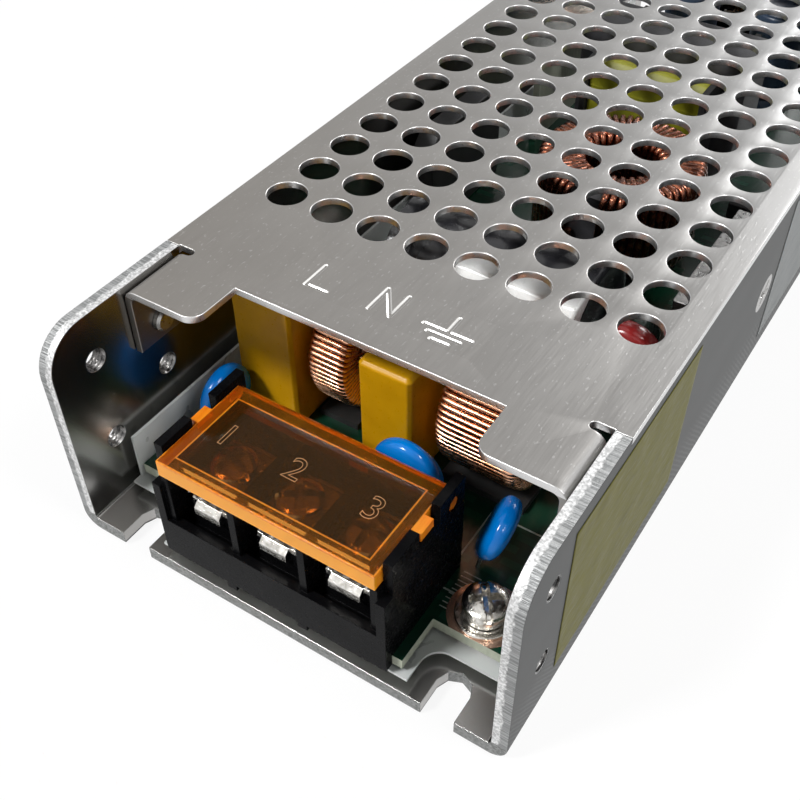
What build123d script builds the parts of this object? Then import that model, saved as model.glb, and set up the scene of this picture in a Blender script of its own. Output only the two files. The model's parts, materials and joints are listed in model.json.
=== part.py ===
"""Slim switching power supply in a folded aluminium case with a vented top cover.

X runs across the case, Y along it from the mains end (-Y) to the output end (+Y), Z up.
The origin is the centre of the underside. All sizes are in millimetres, and a distance
called "in" is measured inwards from the nearest end of the case.
"""

from build123d import *
from math import cos, pi, sin
import os

# Case
case_length = 170.0
case_width = 62.0
case_height = 31.0
chassis_sheet = 2.0
chassis_bend = 2.4
chassis_inner_bend = 0.5
end_wall_length = 22.3
end_wall_corner = 5.6
slot_x = 22.2
slot_width = 4.3
slot_centre_in = 3.6
tapped_radius = 1.5
tapped_in = 6.4
tapped_heights = (11.5, 24.3)
side_hole_in = 16.8
side_hole_height = 15.9

# Cover
cover_sheet = 1.0
cover_bend = 1.9
cover_fit = 0.1
lobe_in = 12.4
recess_in = 19.6
recess_width = 36.0
lobe_corner = 2.0
flange_depth = 9.6
relief_width = 1.2
vent_pitch = 7.09
vent_columns = 8
vent_rows = 14
vent_diameter = 5.4
vent_sides = 8
vent_first_in = 38.5

# Countersunk screws in the side walls
wall_screw_radius = 1.5
wall_screw_head = 2.8
wall_screw_play = 0.05
cover_screw_in = 16.4
cover_screw_height = 24.2
cover_screw_length = 4.0

# Circuit board, its posts and screws, and the insulation sheet below it
board_thickness = 1.6
board_lift = 2.4
board_side_gap = 1.8
board_end_gap = 1.4
board_notch_half = 16.8
board_notch_in = 7.9
post_x = 21.5
post_in = 11.6
post_radius = 2.6
collar_radius = 3.4
small_sides = 8
board_screw_radius = 1.5
board_screw_play = 0.1
board_screw_length = 3.6
pan_head_radius = 2.8
pan_head_height = 2.0
flat_washer_radius = 3.6
flat_washer_thickness = 0.5
spring_washer_radius = 2.6
spring_washer_thickness = 0.9
spring_washer_split = 0.6
film_thickness = 0.4
film_lift = 1.4
film_end_gap = 0.8
film_side_gap = 1.1
film_side_top = 10.9
film_notch_half = 17.8
film_notch_in = 6.2
film_notch_corner = 2.5
film_side_in = 7.5
film_hole_play = 0.2

# Terminal blocks
pole_pitch = 9.5
input_poles = 3
output_poles = 2
block_centre_x = -0.4
block_in = 0.1
block_depth = 16.1
block_wall = 1.2
barrier = 1.0
skirt_gap = 0.1
skirt_drop = 1.6
skirt_lug_places = (-6.0, 4.3)
skirt_lug_width = 1.4
skirt_lug_drop = 0.9
sill_height = 4.5
chamber_floor = 3.0
pedestal_height = 7.2
pedestal_width = 6.2
pedestal_start_in = 2.5
pedestal_end_in = 12.4
rear_wall_height = 9.6
barrier_in = 0.6
barrier_height = 12.0
barrier_high_end_in = 11.2
shoulder_height = 10.6
ear_height = 15.8
ear_dip_height = 13.4
front_ear_in = (1.7, 6.8)
rear_ear_in = 11.0

# Hinged flap over the terminals
flap_top_height = 14.8
flap_plate = 1.3
flap_drop = 2.4
flap_start_in = 0.3
flap_end_in = 15.5
flap_rim = 1.6
flap_rear_rim = 2.6
flap_side_gap = 0.1
flap_corner = 0.8
flap_tab_in = (7.4, 10.0)
hinge_in = 13.9
hinge_above_board = 13.4
hinge_pin_radius = 0.9
hinge_play = 0.05

# Terminal plates, clamps and screws
plate_thickness = 0.8
plate_width = 5.8
tongue_width = 4.2
tongue_drop = 1.8
plate_leg_width = 3.0
plate_bend = 0.7
leg_play = 0.1
screw_in = 7.0
terminal_shank = 1.7
shank_play = 0.08
terminal_shank_length = 4.9
terminal_head_radius = 2.9
terminal_head_height = 2.1
clamp_width = 6.8
clamp_length = 8.0
clamp_thickness = 0.9
clamp_gap = 0.3
clamp_lip = 0.5
clamp_lip_length = 1.2

# Mains filter
film_cap_1_seat = (-18.9, 31.4)
film_cap_1_size = (9.4, 14.8, 20.8)
film_cap_2_seat = (0.1, 32.2)
film_cap_2_size = (7.6, 18.0, 18.0)
film_cap_corner = 0.5
choke_1_seat = (-10.3, 34.7)
choke_1_radius = 9.5
choke_1_width = 6.0
choke_1_turns = 18
choke_2_seat = (12.3, 33.7)
choke_2_radius = 10.0
choke_2_width = 11.8
choke_2_turns = 20
choke_hole_radius = 4.4
choke_winding = 1.4
choke_gap = 3.0
choke_groove = 0.35
choke_base = 1.0
choke_base_length = 14.0
choke_rib_play = 0.1
disc_sides = 12
disc_radius = 4.4
disc_thickness = 3.0
disc_edge = 0.9
disc_leg = 0.7
disc_leg_spacing = 5.0
disc_seats = ((-22.0, 19.2, 11.9), (6.7, 18.0, 15.8), (5.3, 21.3, 11.4))
disc_turns = (90, 0, 0)
leaning_disc_seat = (19.2, 18.2, 13.2)
leaning_disc_radius = 4.1
leaning_disc_turn = (0, 20, 12)
varistor_wall_gap = 8.4
varistor_in = 47.2
varistor_height = 18.0
varistor_radius = 5.5
varistor_thickness = 4.4
limiter_wall_gap = 9.4
limiter_in = 55.5
limiter_height = 12.5
limiter_radius = 5.6
limiter_thickness = 4.0
silicone_start_x = -4.5
silicone_length = 19.0
silicone_corners = (
    (43.9, 18.0),
    (43.4, 20.4),
    (43.5, 22.8),
    (45.0, 24.6),
    (47.4, 25.4),
    (49.6, 25.3),
    (49.9, 24.4),
    (47.1, 22.3),
    (45.8, 20.0),
    (45.0, 18.0),
)
fuse_wall_gap = 7.0
fuse_in = 52.5
fuse_radius = 2.6
fuse_length = 20.0
fuse_cap_length = 5.0
fuse_cap_step = 0.3

# Power stage
bulk_radius = 9.4
bulk_length = 30.0
bulk_seat = (-1.0, 54.4)
bulk_edge = 1.0
bulk_sides = 20
coil_seat = (3.2, 84.0)
coil_radius = 13.0
coil_hole_radius = 5.2
coil_height = 15.0
coil_winding = 1.6
coil_turns = 24
coil_gap = 4.0
coil_base = 2.0
core_sides = 12
transformer_x = -3.0
transformer_from_output = 51.5
core_width = 30.0
core_depth = 11.0
core_height = 18.0
core_yoke = 4.0
core_outer_leg = 3.0
core_middle_leg = 6.0
bobbin_base = 3.0
bobbin_length = 26.0
bobbin_flange = 1.0
bobbin_play = 0.1
winding_corner = 2.0
output_can_radius = 5.0
output_can_height = 19.0
output_can_edge = 0.6
output_can_x = 8.4
output_can_from_output = 28.5

# Transistors and rectifiers clamped to the right-hand wall
transistors_in = 71.5
rectifiers_from_output = 40.0
device_screw_height = 16.4
device_screw_length = 9.2
device_spacing = 15.0
device_width = 10.0
device_body_height = 9.2
device_tab_height = 15.6
device_thickness = 4.5
device_tab_thickness = 1.3
device_bottom = 11.4
device_leg = 0.8
device_leg_pitch = 2.54
device_leg_from_wall = 2.4
pad_thickness = 0.4
pad_margin = 1.0
clamp_bar_thickness = 2.0
clamp_bar_height = 7.0

# Small parts on the board
bridge_wall_gap = 4.6
bridge_in = 82.0
bridge_size = (3.6, 22.0, 17.0)
bridge_corner = 2.0
daughter_wall_gap = 6.5
daughter_from_output = 52.0
daughter_size = (1.2, 24.0, 15.0)
coupler_wall_gap = 9.5
coupler_from_output = 66.0
coupler_size = (6.4, 4.6, 3.5)
trimmer_seat = (-15.0, 12.6)
trimmer_side = 6.0
trimmer_height = 4.6
rotor_radius = 1.9
rotor_play = 0.1
rotor_sink = 1.4
rotor_rise = 0.7
rotor_slot_width = 0.6
rotor_slot_depth = 0.5
lamp_seat = (-14.4, 5.6)
lamp_radius = 1.5
lamp_height = 5.2
lamp_rim = 0.4
lamp_rim_height = 1.0

# Labels on the right-hand wall
label_thickness = 0.1
sticker_in = 10.2
sticker_length = 32.2
sticker_heights = (5.2, 28.6)
rating_in = 76.0
rating_length = 48.0

# Heights and places that follow from the sizes above
half_length = case_length / 2
half_width = case_width / 2
inner_half = half_width - chassis_sheet
varistor_seat = (inner_half - varistor_wall_gap, varistor_in, varistor_height)
limiter_seat = (inner_half - limiter_wall_gap, limiter_in, limiter_height)
fuse_x = fuse_wall_gap - inner_half
bridge_seat = (bridge_wall_gap - inner_half, bridge_in)
daughter_seat = (daughter_wall_gap - inner_half, case_length - daughter_from_output)
coupler_seat = (inner_half - coupler_wall_gap, case_length - coupler_from_output)
transformer_in = case_length - transformer_from_output
output_can_in = case_length - output_can_from_output
device_stations_in = (transistors_in, case_length - rectifiers_from_output)
cover_underside = case_height - cover_sheet
flange_outer = inner_half - cover_fit
bend_start = flange_outer - cover_bend
board_bottom = chassis_sheet + board_lift
board_top = board_bottom + board_thickness
board_half = inner_half - board_side_gap
film_bottom = chassis_sheet + film_lift
film_half = inner_half - film_side_gap
pedestal_top = board_top + pedestal_height
plate_top = pedestal_top + plate_thickness
clamp_bottom = plate_top + clamp_gap + clamp_lip
clamp_top = clamp_bottom + clamp_thickness
flap_top = board_top + flap_top_height
hinge_height = board_top + hinge_above_board
device_back = inner_half - pad_thickness
core_bottom = board_top + bobbin_base
core_middle = core_bottom + core_height / 2
window_height = (core_height - core_middle_leg) / 2 - core_outer_leg
window_width = core_width - 2 * core_yoke


def block_width(poles):
    """Width of a terminal block: its poles with a barrier at each side, and two end walls."""
    return poles * pole_pitch + barrier + 2 * block_wall


def pole_places(poles):
    first = block_centre_x - (poles - 1) * pole_pitch / 2
    return [first + n * pole_pitch for n in range(poles)]


def end_plane(height):
    """A level plane whose Y is measured inwards from the mains end."""
    return Plane(origin=(0, -half_length, height))


def side_plane(x):
    """An upright plane across X, seen from the right: its x is the distance in, its y the height."""
    return Plane(origin=(x, -half_length, 0), x_dir=(0, 1, 0), z_dir=(1, 0, 0))


def span(start, end, low, high, mode=Mode.ADD):
    """A rectangle between two distances and two heights in the sketch that is open."""
    with Locations(((start + end) / 2, (low + high) / 2)):
        Rectangle(end - start, high - low, mode=mode)


def ridged_ring(radius, turns, groove):
    """Corners of a ring of turns: each turn is a ridge, with a groove on either side of it."""
    step = pi / turns
    radii = (radius, radius - groove)
    return [(radii[n % 2] * cos(n * step), radii[n % 2] * sin(n * step)) for n in range(2 * turns)]


def save(part, name):
    part.label = name
    export_step(part, f"parts/{name}.step")


def save_at_end(part, name, output_end):
    """Write a piece made at the mains end, or the same piece turned round to the output end."""
    if not output_end:
        save(part, name)
        return
    with BuildPart() as turned_piece:
        add(part, rotation=(0, 0, 180))
    save(turned_piece.part, name)


def countersunk_screw(length, play):
    """A countersunk screw with the flat of its head at the origin, pointing down, or with play its hole."""
    head = wall_screw_head + play
    shank = wall_screw_radius + play
    with BuildPart() as screw:
        with BuildSketch():
            RegularPolygon(head, small_sides)
        with BuildSketch(Plane.XY.offset(shank - head)):
            RegularPolygon(shank, small_sides)
        loft()
        with BuildSketch():
            RegularPolygon(shank, small_sides)
        extrude(amount=-length)
    return screw.part


os.makedirs("parts", exist_ok=True)

# Places of the countersunk screws on the outer wall faces
right_wall = Plane(origin=(half_width, 0, 0), x_dir=(0, 1, 0), z_dir=(1, 0, 0))
left_wall = Plane(origin=(-half_width, 0, 0), x_dir=(0, -1, 0), z_dir=(-1, 0, 0))
cover_screw_places = [
    wall * Location((along, cover_screw_height, 0))
    for wall in (right_wall, left_wall)
    for along in (cover_screw_in - half_length, half_length - cover_screw_in)
]
device_screw_places = [
    right_wall * Location((station - half_length, device_screw_height, 0)) for station in device_stations_in
]

# Chassis: one folded sheet, open at the top and at both ends
with BuildPart() as chassis:
    with BuildSketch(Plane.XZ) as chassis_section:
        Rectangle(case_width, case_height, align=(Align.CENTER, Align.MIN))
        with Locations((0, chassis_sheet)):
            Rectangle(2 * inner_half, case_height, align=(Align.CENTER, Align.MIN), mode=Mode.SUBTRACT)
        outer_corners = chassis_section.vertices().group_by(Axis.Y)[0]
        fillet(outer_corners, chassis_bend)
        inner_corners = chassis_section.vertices().filter_by_position(
            Axis.Y, chassis_sheet - 0.01, chassis_sheet + 0.01
        )
        fillet(inner_corners, chassis_inner_bend)
    extrude(amount=half_length, both=True)
    wall_ends = chassis.edges().filter_by(Axis.X).group_by(Axis.Z)[-1]
    fillet(wall_ends, end_wall_corner)
    with BuildSketch(Plane.XY.offset(cover_underside)):
        Rectangle(case_width, case_length - 2 * end_wall_length)
    extrude(amount=cover_sheet, mode=Mode.SUBTRACT)
    with BuildSketch():
        with Locations((0, half_length), (0, -half_length)):
            with GridLocations(2 * slot_x, 2 * slot_centre_in, 2, 2):
                RegularPolygon(slot_width / 2, small_sides)
            with GridLocations(2 * slot_x, 0, 2, 1):
                Rectangle(slot_width, 2 * slot_centre_in)
    extrude(amount=chassis_sheet, mode=Mode.SUBTRACT)
    with BuildSketch(Plane.YZ):
        for height in tapped_heights:
            with Locations((0, height)):
                with GridLocations(case_length - 2 * tapped_in, 0, 2, 1):
                    Circle(tapped_radius)
        with Locations((0, side_hole_height)):
            with GridLocations(case_length - 2 * side_hole_in, 0, 2, 1):
                Circle(tapped_radius)
    extrude(amount=case_width, both=True, mode=Mode.SUBTRACT)
    with Locations(*cover_screw_places, *device_screw_places):
        add(countersunk_screw(2 * chassis_sheet, wall_screw_play), mode=Mode.SUBTRACT)
save(chassis.part, "chassis")

# Cover: a flat vented sheet on the side walls, with lobes folded down inside them at each end
with BuildPart() as cover:
    with BuildSketch(Plane.XY.offset(cover_underside)) as cover_outline:
        Rectangle(case_width, case_length - 2 * (end_wall_length + cover_fit))
        Rectangle(2 * bend_start, case_length - 2 * lobe_in)
        with GridLocations(0, case_length - 2 * lobe_in, 1, 2):
            Rectangle(recess_width, 2 * (recess_in - lobe_in), mode=Mode.SUBTRACT)
        lobe_tips = cover_outline.vertices().filter_by(
            lambda v: abs(v.Y) > half_length - lobe_in - 0.01 and abs(v.X) < recess_width / 2 + 0.01
        )
        fillet(lobe_tips, lobe_corner)
        relief_spacing = 2 * (half_length - end_wall_length + relief_width / 4)
        with GridLocations(2 * bend_start, relief_spacing, 2, 2):
            RegularPolygon(relief_width / 2, vent_sides, major_radius=False, mode=Mode.SUBTRACT)
        with GridLocations(bend_start + inner_half, relief_spacing, 2, 2):
            Rectangle(inner_half - bend_start, relief_width, mode=Mode.SUBTRACT)
        with Locations((0, -half_length + vent_first_in + (vent_rows - 1) * vent_pitch / 2)):
            with GridLocations(vent_pitch, vent_pitch, vent_columns, vent_rows):
                RegularPolygon(vent_diameter / 2, vent_sides, rotation=180 / vent_sides, mode=Mode.SUBTRACT)
    extrude(amount=cover_sheet)
    flange_length = end_wall_length - relief_width * 3 / 4 - lobe_in
    for end in (-1, 1):
        with BuildSketch(Plane.XZ.offset(end * (half_length - lobe_in - flange_length / 2))):
            with BuildLine():
                bend_height = case_height - cover_bend
                flange_inner = flange_outer - cover_sheet
                flange_bottom = case_height - flange_depth
                CenterArc((bend_start, bend_height), cover_bend, 0, 90)
                Line((bend_start, case_height), (bend_start, cover_underside))
                CenterArc((bend_start, bend_height), cover_bend - cover_sheet, 0, 90)
                Line((flange_inner, bend_height), (flange_inner, flange_bottom))
                Line((flange_inner, flange_bottom), (flange_outer, flange_bottom))
                Line((flange_outer, flange_bottom), (flange_outer, bend_height))
            make_face()
            mirror(about=Plane.YZ)
        extrude(amount=flange_length / 2, both=True)
    with BuildSketch(Plane.YZ):
        with Locations((0, cover_screw_height)):
            with GridLocations(case_length - 2 * cover_screw_in, 0, 2, 1):
                RegularPolygon(wall_screw_radius + wall_screw_play, small_sides)
    extrude(amount=case_width, both=True, mode=Mode.SUBTRACT)
save(cover.part, "cover")


with BuildPart() as cover_screws:
    with Locations(*cover_screw_places):
        add(countersunk_screw(cover_screw_length, 0))
save(cover_screws.part, "cover_screws")

with BuildPart() as device_screws:
    with Locations(*device_screw_places):
        add(countersunk_screw(device_screw_length, 0))
save(device_screws.part, "device_screws")

# Posts under the board: a six-sided foot that carries the insulation sheet, and a six-sided neck
post_grid = (2 * post_x, case_length - 2 * post_in, 2, 2)
with BuildPart() as board_posts:
    with BuildSketch(Plane.XY.offset(chassis_sheet)):
        with GridLocations(*post_grid):
            RegularPolygon(collar_radius, 6, major_radius=False)
    extrude(amount=film_lift)
    with BuildSketch(Plane.XY.offset(film_bottom)):
        with GridLocations(*post_grid):
            RegularPolygon(post_radius, 6, major_radius=False)
    extrude(amount=board_bottom - film_bottom)
    with BuildSketch(Plane.XY.offset(board_bottom)):
        with GridLocations(*post_grid):
            RegularPolygon(board_screw_radius, small_sides, major_radius=False)
    extrude(amount=chassis_sheet - board_bottom, mode=Mode.SUBTRACT)
save(board_posts.part, "board_posts")

# Insulation sheet: a thin tray with its sides turned up beside the board
with BuildPart() as insulation_sheet:
    film_length = case_length - 2 * film_end_gap
    with BuildSketch(Plane.XZ.offset(-film_length / 2)):
        span(-film_half, film_half, film_bottom, film_side_top)
        span(
            film_thickness - film_half,
            film_half - film_thickness,
            film_bottom + film_thickness,
            film_side_top,
            mode=Mode.SUBTRACT,
        )
    extrude(amount=film_length)
    with BuildSketch() as film_cuts:
        with GridLocations(2 * film_half, case_length, 2, 2):
            Rectangle(2 * (film_half - film_notch_half), 2 * film_notch_in)
        rounded = film_cuts.vertices().filter_by(
            lambda v: abs(v.X) < film_notch_half + 0.01 and abs(v.Y) < half_length - film_notch_in + 0.01
        )
        fillet(rounded, film_notch_corner)
        with GridLocations(*post_grid):
            RegularPolygon(post_radius + film_hole_play, 6, major_radius=False)
    extrude(amount=case_height, mode=Mode.SUBTRACT)
    with BuildSketch(Plane.XY.offset(film_bottom + film_thickness)):
        with GridLocations(0, case_length, 1, 2):
            Rectangle(case_width, 2 * film_side_in)
    extrude(amount=case_height, mode=Mode.SUBTRACT)
save(insulation_sheet.part, "insulation_sheet")

# Circuit board
with BuildPart() as circuit_board:
    with BuildSketch(Plane.XY.offset(board_bottom)):
        Rectangle(2 * board_half, case_length - 2 * board_end_gap)
        with GridLocations(2 * board_half, case_length, 2, 2):
            Rectangle(2 * (board_half - board_notch_half), 2 * board_notch_in, mode=Mode.SUBTRACT)
        with GridLocations(*post_grid):
            RegularPolygon(
                board_screw_radius + board_screw_play, small_sides, major_radius=False, mode=Mode.SUBTRACT
            )
    extrude(amount=board_thickness)
save(circuit_board.part, "circuit_board")

# Board screws: the one beside the mains terminals is the earth screw, raised on its washers
washer_stack = flat_washer_thickness + spring_washer_thickness
board_screw_seats = [
    (x, y, board_top + (washer_stack if x > 0 and y < 0 else 0))
    for x in (-post_x, post_x)
    for y in (post_in - half_length, half_length - post_in)
]
with BuildPart() as board_screws:
    for screw_seat in board_screw_seats:
        with BuildSketch(Plane(origin=screw_seat)):
            RegularPolygon(pan_head_radius, small_sides)
        extrude(amount=pan_head_height)
        with BuildSketch(Plane(origin=screw_seat)):
            RegularPolygon(board_screw_radius, small_sides)
        extrude(amount=-board_screw_length)
save(board_screws.part, "board_screws")

earth_seat = Plane(origin=(post_x, post_in - half_length, board_top))
with BuildPart() as earth_flat_washer:
    with BuildSketch(earth_seat):
        RegularPolygon(flat_washer_radius, small_sides)
        RegularPolygon(
            board_screw_radius + board_screw_play, small_sides, major_radius=False, mode=Mode.SUBTRACT
        )
    extrude(amount=flat_washer_thickness)
save(earth_flat_washer.part, "earth_flat_washer")

with BuildPart() as earth_spring_washer:
    with BuildSketch(earth_seat.offset(flat_washer_thickness)):
        RegularPolygon(spring_washer_radius, small_sides)
        RegularPolygon(
            board_screw_radius + board_screw_play, small_sides, major_radius=False, mode=Mode.SUBTRACT
        )
        with Locations((0, -spring_washer_radius)):
            Rectangle(spring_washer_split, 2 * (spring_washer_radius - board_screw_radius), mode=Mode.SUBTRACT)
    extrude(amount=spring_washer_thickness)
save(earth_spring_washer.part, "earth_spring_washer")


def terminal_block(poles):
    """Moulded block at the mains end: chambers between barriers, a sill in front, eared end walls."""
    width = block_width(poles)
    left = block_centre_x - width / 2
    block_end_in = block_in + block_depth
    with BuildPart() as block:
        with BuildSketch(side_plane(left)):
            span(block_in, block_end_in, board_top, board_top + sill_height)
            span(block_end_in - block_wall, block_end_in, board_top, board_top + rear_wall_height)
            span(block_in, board_end_gap - skirt_gap, board_top - skirt_drop, board_top)
        extrude(amount=width)
        lug_end_in = film_end_gap - skirt_gap
        with BuildSketch(end_plane(board_top - skirt_drop)):
            for x in skirt_lug_places:
                with Locations((block_centre_x + x, (block_in + lug_end_in) / 2)):
                    Rectangle(skirt_lug_width, lug_end_in - block_in)
        extrude(amount=-skirt_lug_drop)
        with BuildSketch(end_plane(board_top + sill_height)):
            for x in pole_places(poles):
                with Locations((x, (block_in + block_end_in) / 2)):
                    Rectangle(pole_pitch - barrier, block_depth - 2 * block_wall)
        extrude(amount=chamber_floor - sill_height, mode=Mode.SUBTRACT)
        with BuildSketch(end_plane(board_top + chamber_floor)):
            for x in pole_places(poles):
                with Locations((x, (pedestal_start_in + pedestal_end_in) / 2)):
                    Rectangle(pedestal_width, pedestal_end_in - pedestal_start_in)
        extrude(amount=pedestal_height - chamber_floor)
        with BuildSketch(end_plane(pedestal_top)):
            for x in pole_places(poles):
                with Locations((x, screw_in)):
                    Rectangle(2 * (terminal_shank + leg_play), 2 * (terminal_shank + leg_play))
        extrude(amount=-terminal_shank_length, mode=Mode.SUBTRACT)
        with BuildSketch(end_plane(board_top)):
            for x in pole_places(poles):
                with Locations((x, pedestal_end_in + plate_thickness / 2)):
                    Rectangle(plate_leg_width + 2 * leg_play, plate_thickness + 2 * leg_play)
        extrude(amount=chamber_floor, mode=Mode.SUBTRACT)
        for n in range(poles + 1):
            with BuildSketch(side_plane(block_centre_x + (n - poles / 2) * pole_pitch - barrier / 2)):
                span(barrier_in, barrier_high_end_in, board_top, board_top + barrier_height)
                span(barrier_in, block_end_in, board_top, board_top + rear_wall_height)
            extrude(amount=barrier)
        for x in (left, left + width - block_wall):
            with BuildSketch(side_plane(x)):
                span(block_in, block_end_in, board_top, board_top + shoulder_height)
                span(front_ear_in[0], block_end_in, board_top, board_top + ear_dip_height)
                span(*front_ear_in, board_top, board_top + ear_height)
                span(rear_ear_in, block_end_in, board_top, board_top + ear_height)
                with Locations((hinge_in, hinge_height)):
                    RegularPolygon(
                        hinge_pin_radius + hinge_play, small_sides, major_radius=False, mode=Mode.SUBTRACT
                    )
            extrude(amount=block_wall)
    return block.part


def terminal_plates(poles):
    """Contact plates: a flat seat with a short tongue bent down in front and a leg to the board."""
    leg_end_in = pedestal_end_in + plate_thickness
    with BuildPart() as plates:
        for x in pole_places(poles):
            with BuildSketch(side_plane(x - plate_width / 2)) as bent_strip:
                span(pedestal_start_in - plate_thickness, leg_end_in, board_top, plate_top)
                chamfer(bent_strip.vertices().group_by(Axis.Y)[-1], plate_bend)
                span(pedestal_start_in, pedestal_end_in, board_top, pedestal_top, mode=Mode.SUBTRACT)
                span(0, pedestal_start_in, 0, plate_top - tongue_drop, mode=Mode.SUBTRACT)
            extrude(amount=plate_width)
            with BuildSketch(end_plane(pedestal_top)):
                with Locations((x, screw_in)):
                    RegularPolygon(terminal_shank + shank_play, small_sides, major_radius=False)
            extrude(amount=plate_thickness, mode=Mode.SUBTRACT)
            with BuildSketch(end_plane(board_top)):
                for side in (-1, 1):
                    with Locations((x + side * (tongue_width + plate_width) / 2, pedestal_start_in / 2)):
                        Rectangle(plate_width, pedestal_start_in)
                    with Locations((x + side * (plate_leg_width + plate_width) / 2, leg_end_in)):
                        Rectangle(plate_width, 2 * plate_thickness)
            extrude(amount=case_height, mode=Mode.SUBTRACT)
    return plates.part


def terminal_clamp(x):
    """A pressed washer plate with a gripping lip along its front and rear edges."""
    clamp_start = screw_in - clamp_length / 2
    clamp_end = screw_in + clamp_length / 2
    with BuildPart() as clamp:
        with BuildSketch(side_plane(x - clamp_width / 2)):
            span(clamp_start, clamp_end, clamp_bottom, clamp_top)
            span(clamp_start, clamp_start + clamp_lip_length, clamp_bottom - clamp_lip, clamp_bottom)
            span(clamp_end - clamp_lip_length, clamp_end, clamp_bottom - clamp_lip, clamp_bottom)
        extrude(amount=clamp_width)
        with BuildSketch(end_plane(clamp_bottom)):
            with Locations((x, screw_in)):
                RegularPolygon(terminal_shank + shank_play, small_sides, major_radius=False)
        extrude(amount=clamp_thickness, mode=Mode.SUBTRACT)
    return clamp.part


def terminal_screw(x):
    """A terminal screw whose head rests on its clamp."""
    with BuildPart() as screw:
        with BuildSketch(end_plane(clamp_top)):
            with Locations((x, screw_in)):
                RegularPolygon(terminal_head_radius, small_sides)
        extrude(amount=terminal_head_height)
        with BuildSketch(end_plane(clamp_top)):
            with Locations((x, screw_in)):
                RegularPolygon(terminal_shank, small_sides)
        extrude(amount=-terminal_shank_length)
    return screw.part


def terminal_flap(poles):
    """Clear flap: a plate with a rim turned down all round, on a pin at each rear corner."""
    half = (poles * pole_pitch + barrier) / 2 - flap_side_gap
    flap_bottom = flap_top - flap_drop
    with BuildPart() as flap:
        with BuildSketch(side_plane(block_centre_x - half)) as flap_side:
            span(flap_start_in, flap_end_in, flap_bottom, flap_top)
            rear_corners = flap_side.vertices().group_by(Axis.X)[-1]
            chamfer(rear_corners, flap_corner)
        extrude(amount=2 * half)
        pocket_start = flap_start_in + flap_rim
        pocket_end = flap_end_in - flap_rear_rim
        with BuildSketch(end_plane(flap_bottom)):
            with Locations((block_centre_x, (pocket_start + pocket_end) / 2)):
                Rectangle(2 * (half - flap_rim), pocket_end - pocket_start)
        extrude(amount=flap_drop - flap_plate, mode=Mode.SUBTRACT)
        with BuildSketch(end_plane(flap_top - flap_plate)):
            for side in (-1, 1):
                with Locations((block_centre_x + side * half, sum(flap_tab_in) / 2)):
                    Rectangle(2 * (block_wall - flap_side_gap), flap_tab_in[1] - flap_tab_in[0])
        extrude(amount=flap_plate)
        for side in (-1, 1):
            with BuildSketch(side_plane(block_centre_x + side * half)):
                with Locations((hinge_in, hinge_height)):
                    RegularPolygon(hinge_pin_radius, small_sides)
            extrude(amount=side * block_wall)
    return flap.part


# Terminals at both ends
for end_name, poles, output_end in (("input", input_poles, False), ("output", output_poles, True)):
    save_at_end(terminal_block(poles), f"{end_name}_terminal_block", output_end)
    save_at_end(terminal_plates(poles), f"{end_name}_terminal_plates", output_end)
    save_at_end(terminal_flap(poles), f"{end_name}_terminal_flap", output_end)
    for number, x in enumerate(pole_places(poles), start=1):
        save_at_end(terminal_clamp(x), f"{end_name}_clamp_{number}", output_end)
        save_at_end(terminal_screw(x), f"{end_name}_screw_{number}", output_end)


def film_capacitor(seat, size):
    """A potted film capacitor: an upright box with its edges taken off."""
    with BuildPart() as capacitor:
        with BuildSketch(end_plane(board_top)):
            with Locations(seat):
                Rectangle(size[0], size[1])
        extrude(amount=size[2])
        chamfer(capacitor.edges().filter_by(Axis.Z), film_cap_corner)
        chamfer(capacitor.edges().group_by(Axis.Z)[-1], film_cap_corner)
    return capacitor.part


save(film_capacitor(film_cap_1_seat, film_cap_1_size), "film_capacitor_1")
save(film_capacitor(film_cap_2_seat, film_cap_2_size), "film_capacitor_2")


def ring_core(radius, hole, height):
    """A ring core about the Z axis, centred on the origin, with a flat at each quarter."""
    with BuildPart() as core:
        with BuildSketch(Plane.XY.offset(-height / 2)):
            RegularPolygon(radius, core_sides, major_radius=False, rotation=180 / core_sides)
            RegularPolygon(hole, core_sides, rotation=180 / core_sides, mode=Mode.SUBTRACT)
        extrude(amount=height)
    return core.part


def ring_winding(radius, hole, height, wall, turns, gap, both_gaps):
    """Turns laid side by side round a ring core, left open at one gap or at two opposite gaps."""
    gap_reach = 2 * radius
    with BuildPart() as winding:
        with BuildSketch(Plane.XY.offset(-height / 2)):
            Polygon(*ridged_ring(radius, turns, choke_groove), align=None)
            RegularPolygon(hole, core_sides, rotation=180 / core_sides, mode=Mode.SUBTRACT)
        extrude(amount=height)
        add(ring_core(radius - wall, hole + wall, height - 2 * wall), mode=Mode.SUBTRACT)
        with BuildSketch(Plane.XY.offset(-height / 2)):
            with Locations((0, -gap_reach / 2)):
                Rectangle(gap, gap_reach)
            if both_gaps:
                with Locations((0, gap_reach / 2)):
                    Rectangle(gap, gap_reach)
        extrude(amount=height, mode=Mode.SUBTRACT)
    return winding.part


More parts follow.
